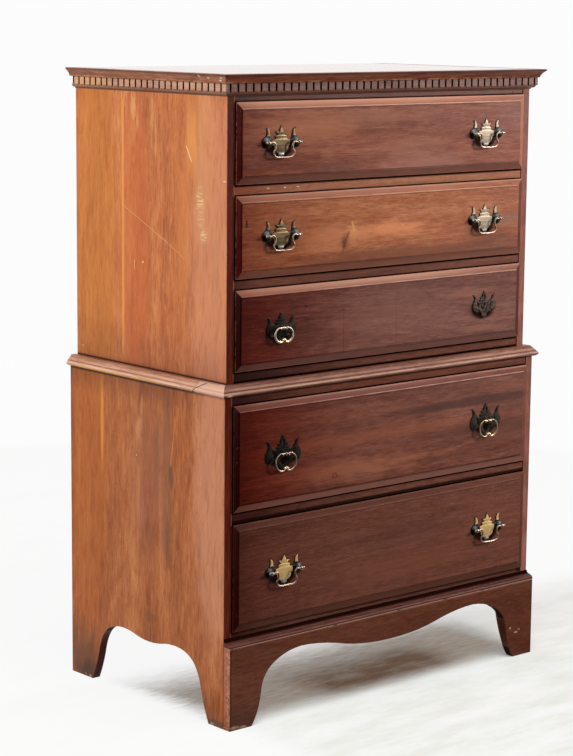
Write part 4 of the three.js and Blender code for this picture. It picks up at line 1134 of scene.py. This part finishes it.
def plate(outlines, halo=0):
    """A flat plate with bevelled edges from its outlines, or a thin film that reaches past its edge."""
    curve = bpy.data.curves.new("plate", "CURVE")
    curve.dimensions = "2D"
    curve.fill_mode = "BOTH"
    if halo:
        curve.extrude = HALO_THICKNESS / 2
        curve.offset = halo
    else:
        curve.extrude = PLATE_THICKNESS / 2 - PLATE_BEVEL
        curve.bevel_depth = PLATE_BEVEL
        curve.bevel_resolution = 1
        curve.offset = -PLATE_BEVEL
    for outline in outlines:
        line = curve.splines.new("POLY")
        line.points.add(len(outline) - 1)
        for point, (x, z) in zip(line.points, outline):
            point.co = (x, z, 0, 1)
        line.use_cyclic_u = True
    holder = bpy.data.objects.new("plate", curve)
    mesh = bpy.data.meshes.new_from_object(holder)
    back = -(HALO_THICKNESS if halo else PLATE_THICKNESS) / 2
    corners = [(vertex.co.x, back - vertex.co.z, vertex.co.y) for vertex in mesh.vertices]
    faces = [tuple(face.vertices) for face in mesh.polygons]
    bpy.data.objects.remove(holder)
    bpy.data.curves.remove(curve)
    bpy.data.meshes.remove(mesh)
    return corners, faces


def strips(rows, closed):
    """Faces between rows of corners that each go once round."""
    count = len(rows[0])
    corners = [corner for row in rows for corner in row]
    faces = []
    for i in range(len(rows) if closed else len(rows) - 1):
        low, high = i * count, (i + 1) % len(rows) * count
        for k in range(count):
            n = (k + 1) % count
            faces.append((low + k, low + n, high + n, high + k))
    return corners, faces


def turned(profile, centre, axis="Y", closed=False):
    """A turned shape: radius and forward places round the forward or the crosswise axis."""
    rows = []
    for radius, forward in profile:
        spots = [(a, -forward, b) if axis == "Y" else (forward, a, b) for a, b in circle(radius)]
        rows.append([tuple(c + s for c, s in zip(centre, spot)) for spot in spots])
    return strips(rows, closed)


def ball(x, z, radius):
    turns = spread(0, math.pi, TURN_STEPS // 2)
    profile = [(radius * math.sin(turn), -radius * math.cos(turn)) for turn in turns]
    return turned(profile, (x, PIVOT, z), "X")


def post(x, head_radius=HEAD_RADIUS):
    """A turned post, and its head with the bore for the wire."""
    open_turn = math.asin(BORE_RADIUS / head_radius)
    turns = spread(open_turn, math.pi - open_turn, TURN_STEPS // 2)
    head = [(head_radius * math.sin(turn), head_radius * math.cos(turn)) for turn in turns]
    head += [(BORE_RADIUS, head[-1][1]), (BORE_RADIUS, head[0][1])]
    return [turned(POST_PROFILE, (x, -PLATE_THICKNESS, 0)), turned(head, (x, PIVOT, 0), "X", True)]


def dome(x):
    shares = reversed(spread(0, 1, DOME_STEPS))
    profile = [(DOME_RADIUS * share, DOME_HEIGHT * (1 - share ** 2) ** 1.6) for share in shares]
    return turned(profile, (x, -PLATE_THICKNESS, DOME_PLACE))


def wire(path, radii):
    """A round wire along a path across and up, with its radius at each point."""
    rows = []
    for i, ((x, z), radius) in enumerate(zip(path, radii)):
        (x0, z0), (x1, z1) = path[max(i - 1, 0)], path[min(i + 1, len(path) - 1)]
        length = math.hypot(x1 - x0, z1 - z0)
        side = ((z1 - z0) / length, (x0 - x1) / length)
        rows.append([(x + side[0] * a, PIVOT + b, z + side[1] * a) for a, b in circle(radius, WIRE_SIDES)])
    corners, faces = strips(rows, False)
    last = len(corners) - WIRE_SIDES
    faces += [tuple(range(WIRE_SIDES)), tuple(last + k for k in range(WIRE_SIDES))]
    return corners, faces


EDGE_ON = 0.3  # faces more edge-on than this wear the metal of the rim
FLAT_ON = 0.97  # flatter faces aren't smoothed
FINE_WELD = 0.001


def assemble(node, parts, materials, middle, finish_of=lambda place, normal: 0, cuts=()):
    """One piece of several shapes, each with the number of its material; finish_of sorts the first."""
    corners, faces, numbers = [], [], []
    for (spots, rings), number in parts:
        faces += [tuple(len(corners) + corner for corner in ring) for ring in rings]
        numbers += [number] * len(rings)
        corners += spots
    mesh = bpy.data.meshes.new(node + "_fine")
    mesh.from_pydata(corners, [], faces)
    shape = bmesh.new()
    shape.from_mesh(mesh)
    for face, number in zip(shape.faces, numbers):
        face.material_index = number
        face.smooth = True
    bmesh.ops.remove_doubles(shape, verts=shape.verts, dist=FINE_WELD)
    bmesh.ops.recalc_face_normals(shape, faces=shape.faces)
    for place, normal in cuts:
        everything = [*shape.verts, *shape.edges, *shape.faces]
        bmesh.ops.bisect_plane(shape, geom=everything, plane_co=place, plane_no=normal)
    shape.normal_update()
    for face in shape.faces:
        if face.material_index == 0:
            face.material_index = finish_of(face.calc_center_median(), face.normal)
            face.smooth = abs(face.normal.y) < FLAT_ON
    shape.to_mesh(mesh)
    shape.free()
    mesh.set_sharp_from_angle(angle=SHARP)
    mesh.transform(Matrix.Translation(middle) @ Matrix.Scale(MM, 4))
    take_place(add_object(node + "_fine", mesh), node, [metals[name] for name in materials])


def pull_middle(pull, size, foot):
    """Where a pull's post line meets the back of its plate."""
    low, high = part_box(pull + "_plate")
    return Vector(((low[0] + high[0]) / 2, high[1], low[2] + foot * size * MM))


NECK = 0.47 * BATWING_REACH  # where a batwing's tips begin
BROW = 0.27 * BATWING_REACH  # how far up the slate of its tips reaches
FOOT = -0.4 * BATWING_REACH  # where its pale foot begins


def bail_pull(pull, plate_metal):
    middle = pull_middle(pull, BATWING_REACH, BATWING_FOOT)
    outline = mirrored_outline(BATWING_TOP, BATWING, BATWING_REACH)
    parts = [(plate([outline]), 0), (plate([outline], HALO), 3)]
    cuts = [((x, 0, 0), (1, 0, 0)) for x in (-NECK, NECK)]
    cuts += [((0, 0, z), (0, 0, 1)) for z in (BROW, FOOT)]

    def finish_of(place, normal):
        if abs(normal.y) < EDGE_ON:
            return 3
        if abs(place.x) > NECK and place.z < BROW:
            return 1
        return 4 if place.z < FOOT else 0

    for x in (-POST_SPACING / 2, POST_SPACING / 2):
        parts += [(shape, 2) for shape in post(x)]
        parts.append((dome(x), 1))
    plate_metals = (plate_metal, "wing_slate", "post_cream", "plate_edge", "plate_foot")
    assemble(pull + "_plate", parts, plate_metals, middle, finish_of, cuts)
    half = through([(x * BAIL_DROP, z * BAIL_DROP) for x, z in BAIL])
    path = [(-x, z) for x, z in half] + half[-2::-1]
    path = [(-BAIL_END, 0), (-POST_SPACING / 2, 0), *path, (POST_SPACING / 2, 0), (BAIL_END, 0)]
    parts = [(wire(path, [WIRE_RADIUS] * len(path)), 0)]
    parts += [(ball(x, 0, BAIL_BALL), 0) for x in (-BALL_PLACE, BALL_PLACE)]
    assemble(pull + "_bail", parts, ("bail_cream",), middle)


def pierced_plate(pull, size, plate_metals, single, pairs, hole=None):
    """A pierced plate with its openings; the plate without a post has the post's hole instead."""
    middle = pull_middle(pull, size, PIERCED_FOOT)
    outlines = [mirrored_outline(PIERCED_TOP, PIERCED, size)]
    outlines += [slot_outline(slot, size) for slot in single]
    outlines += [slot_outline(slot, size, side) for slot in pairs for side in (-1, 1)]
    if hole:
        outlines.append(circle(hole))
    parts = [(plate(outlines), 0), (plate([outlines[0]] if hole else outlines, HALO), 2)]
    if not hole:
        foot, head = post(0, RING_HEAD_RADIUS)
        parts += [(foot, 0), (head, 1)]
    assemble(pull + "_plate", parts, plate_metals, middle)
    return middle


def ring_pull(pull, size, reach, drop, plate_metal, ring_metal, thin, thick, single, pairs):
    middle = pierced_plate(pull, size, (plate_metal, ring_metal, "plate_edge"), single, pairs)
    right = through([(x * reach, z * drop) for x, z in RING] + [(RING_TOP * reach, 0)])
    path = right + [(-x, z) for x, z in reversed(right)]
    start, reach_down = RING_SWELL
    radii = [thin + (thick - thin) * min(1, max(0, -z / drop - start) / reach_down) for x, z in path]
    parts = [(wire(path, radii), 0)]
    parts += [(ball(x * reach, z * drop, radius), number) for x, z, radius, number in RING_BEADS]
    assemble(pull + "_ring", parts, (ring_metal, "ring_beads"), middle)


# The plates' brass differs partly as painted reflection: olive on the left, cream on the right, gold low down
BAIL_PULLS = {
    "drawer_1_left": "plate_olive", "drawer_2_left": "plate_olive", "drawer_1_right": "plate_cream",
    "drawer_2_right": "plate_cream", "drawer_5_left": "plate_gold", "drawer_5_right": "plate_gold",
}
LARGE_SLOTS = ((FINIAL_SLOT, MIDDLE_SLOT), (SIDE_SLOT,))
# Size of the plate, reach and drop of the ring, their metals, the ring's radii, openings
RING_PULLS = {
    "drawer_3_left": (37.5, 22.8, 27.5, "plate_bronze", "ring_pale", 1.6, 2.4, (DOT_SLOT,), ()),
    "drawer_4_left": (46, 26.2, 33.8, "plate_bronze", "ring_pink", 1.35, 1.8, *LARGE_SLOTS),
    "drawer_4_right": (46, 26.2, 33.8, "plate_green", "ring_yellow", 1.35, 1.9, *LARGE_SLOTS),
}
LOST_RING = ("plate_worn", "plate_worn", "plate_edge")
LOST_RING_SLOTS = ((FINIAL_SLOT, DOT_SLOT), (SIDE_SLOT, LOW_SLOT))

# By how many millimetres the edges of the boards are rounded
EASE = {"upper_side_": 1.2, "lower_side_": 1.2, "front_apron": 1.4, "dentil": 0.35, "drawer_": 0.5}
EASE_ELSE = 0.6


add_camera()
add_world()
floor = add_floor()
add_card()
for name, lamp in LAMPS.items():
    add_softbox(floor, name, *lamp)

woods = build_woods()
for name, node in frame["nodes"].items():
    if name.endswith(("_plate", "_bail", "_ring")):
        continue
    if name in woods:
        radius = next((value for start, value in EASE.items() if name.startswith(start)), EASE_ELSE)
        materials, number_of = [woods[name]], plain_face
        if "_side_" in name:
            stile = woods["stile" if name.endswith("left") else "stile_right"]
            materials, number_of = [woods[name], stile, woods["sawn"]], side_face
        elif name == "front_apron":
            materials, number_of = [woods[name], woods["sawn"]], apron_face
        eased(name, radius * MM, materials, number_of)
    else:
        for place in node.material_slots:
            place.material = woods["inner"]

metals = {name: metal(name, *look) for name, look in METALS.items()}
for pull, plate_metal in BAIL_PULLS.items():
    bail_pull(pull, plate_metal)
for pull, look in RING_PULLS.items():
    ring_pull(pull, *look)
pierced_plate("drawer_3_right", 35, LOST_RING, *LOST_RING_SLOTS, LOST_POST_RADIUS)

bpy.context.scene.view_settings.view_transform = "Standard"
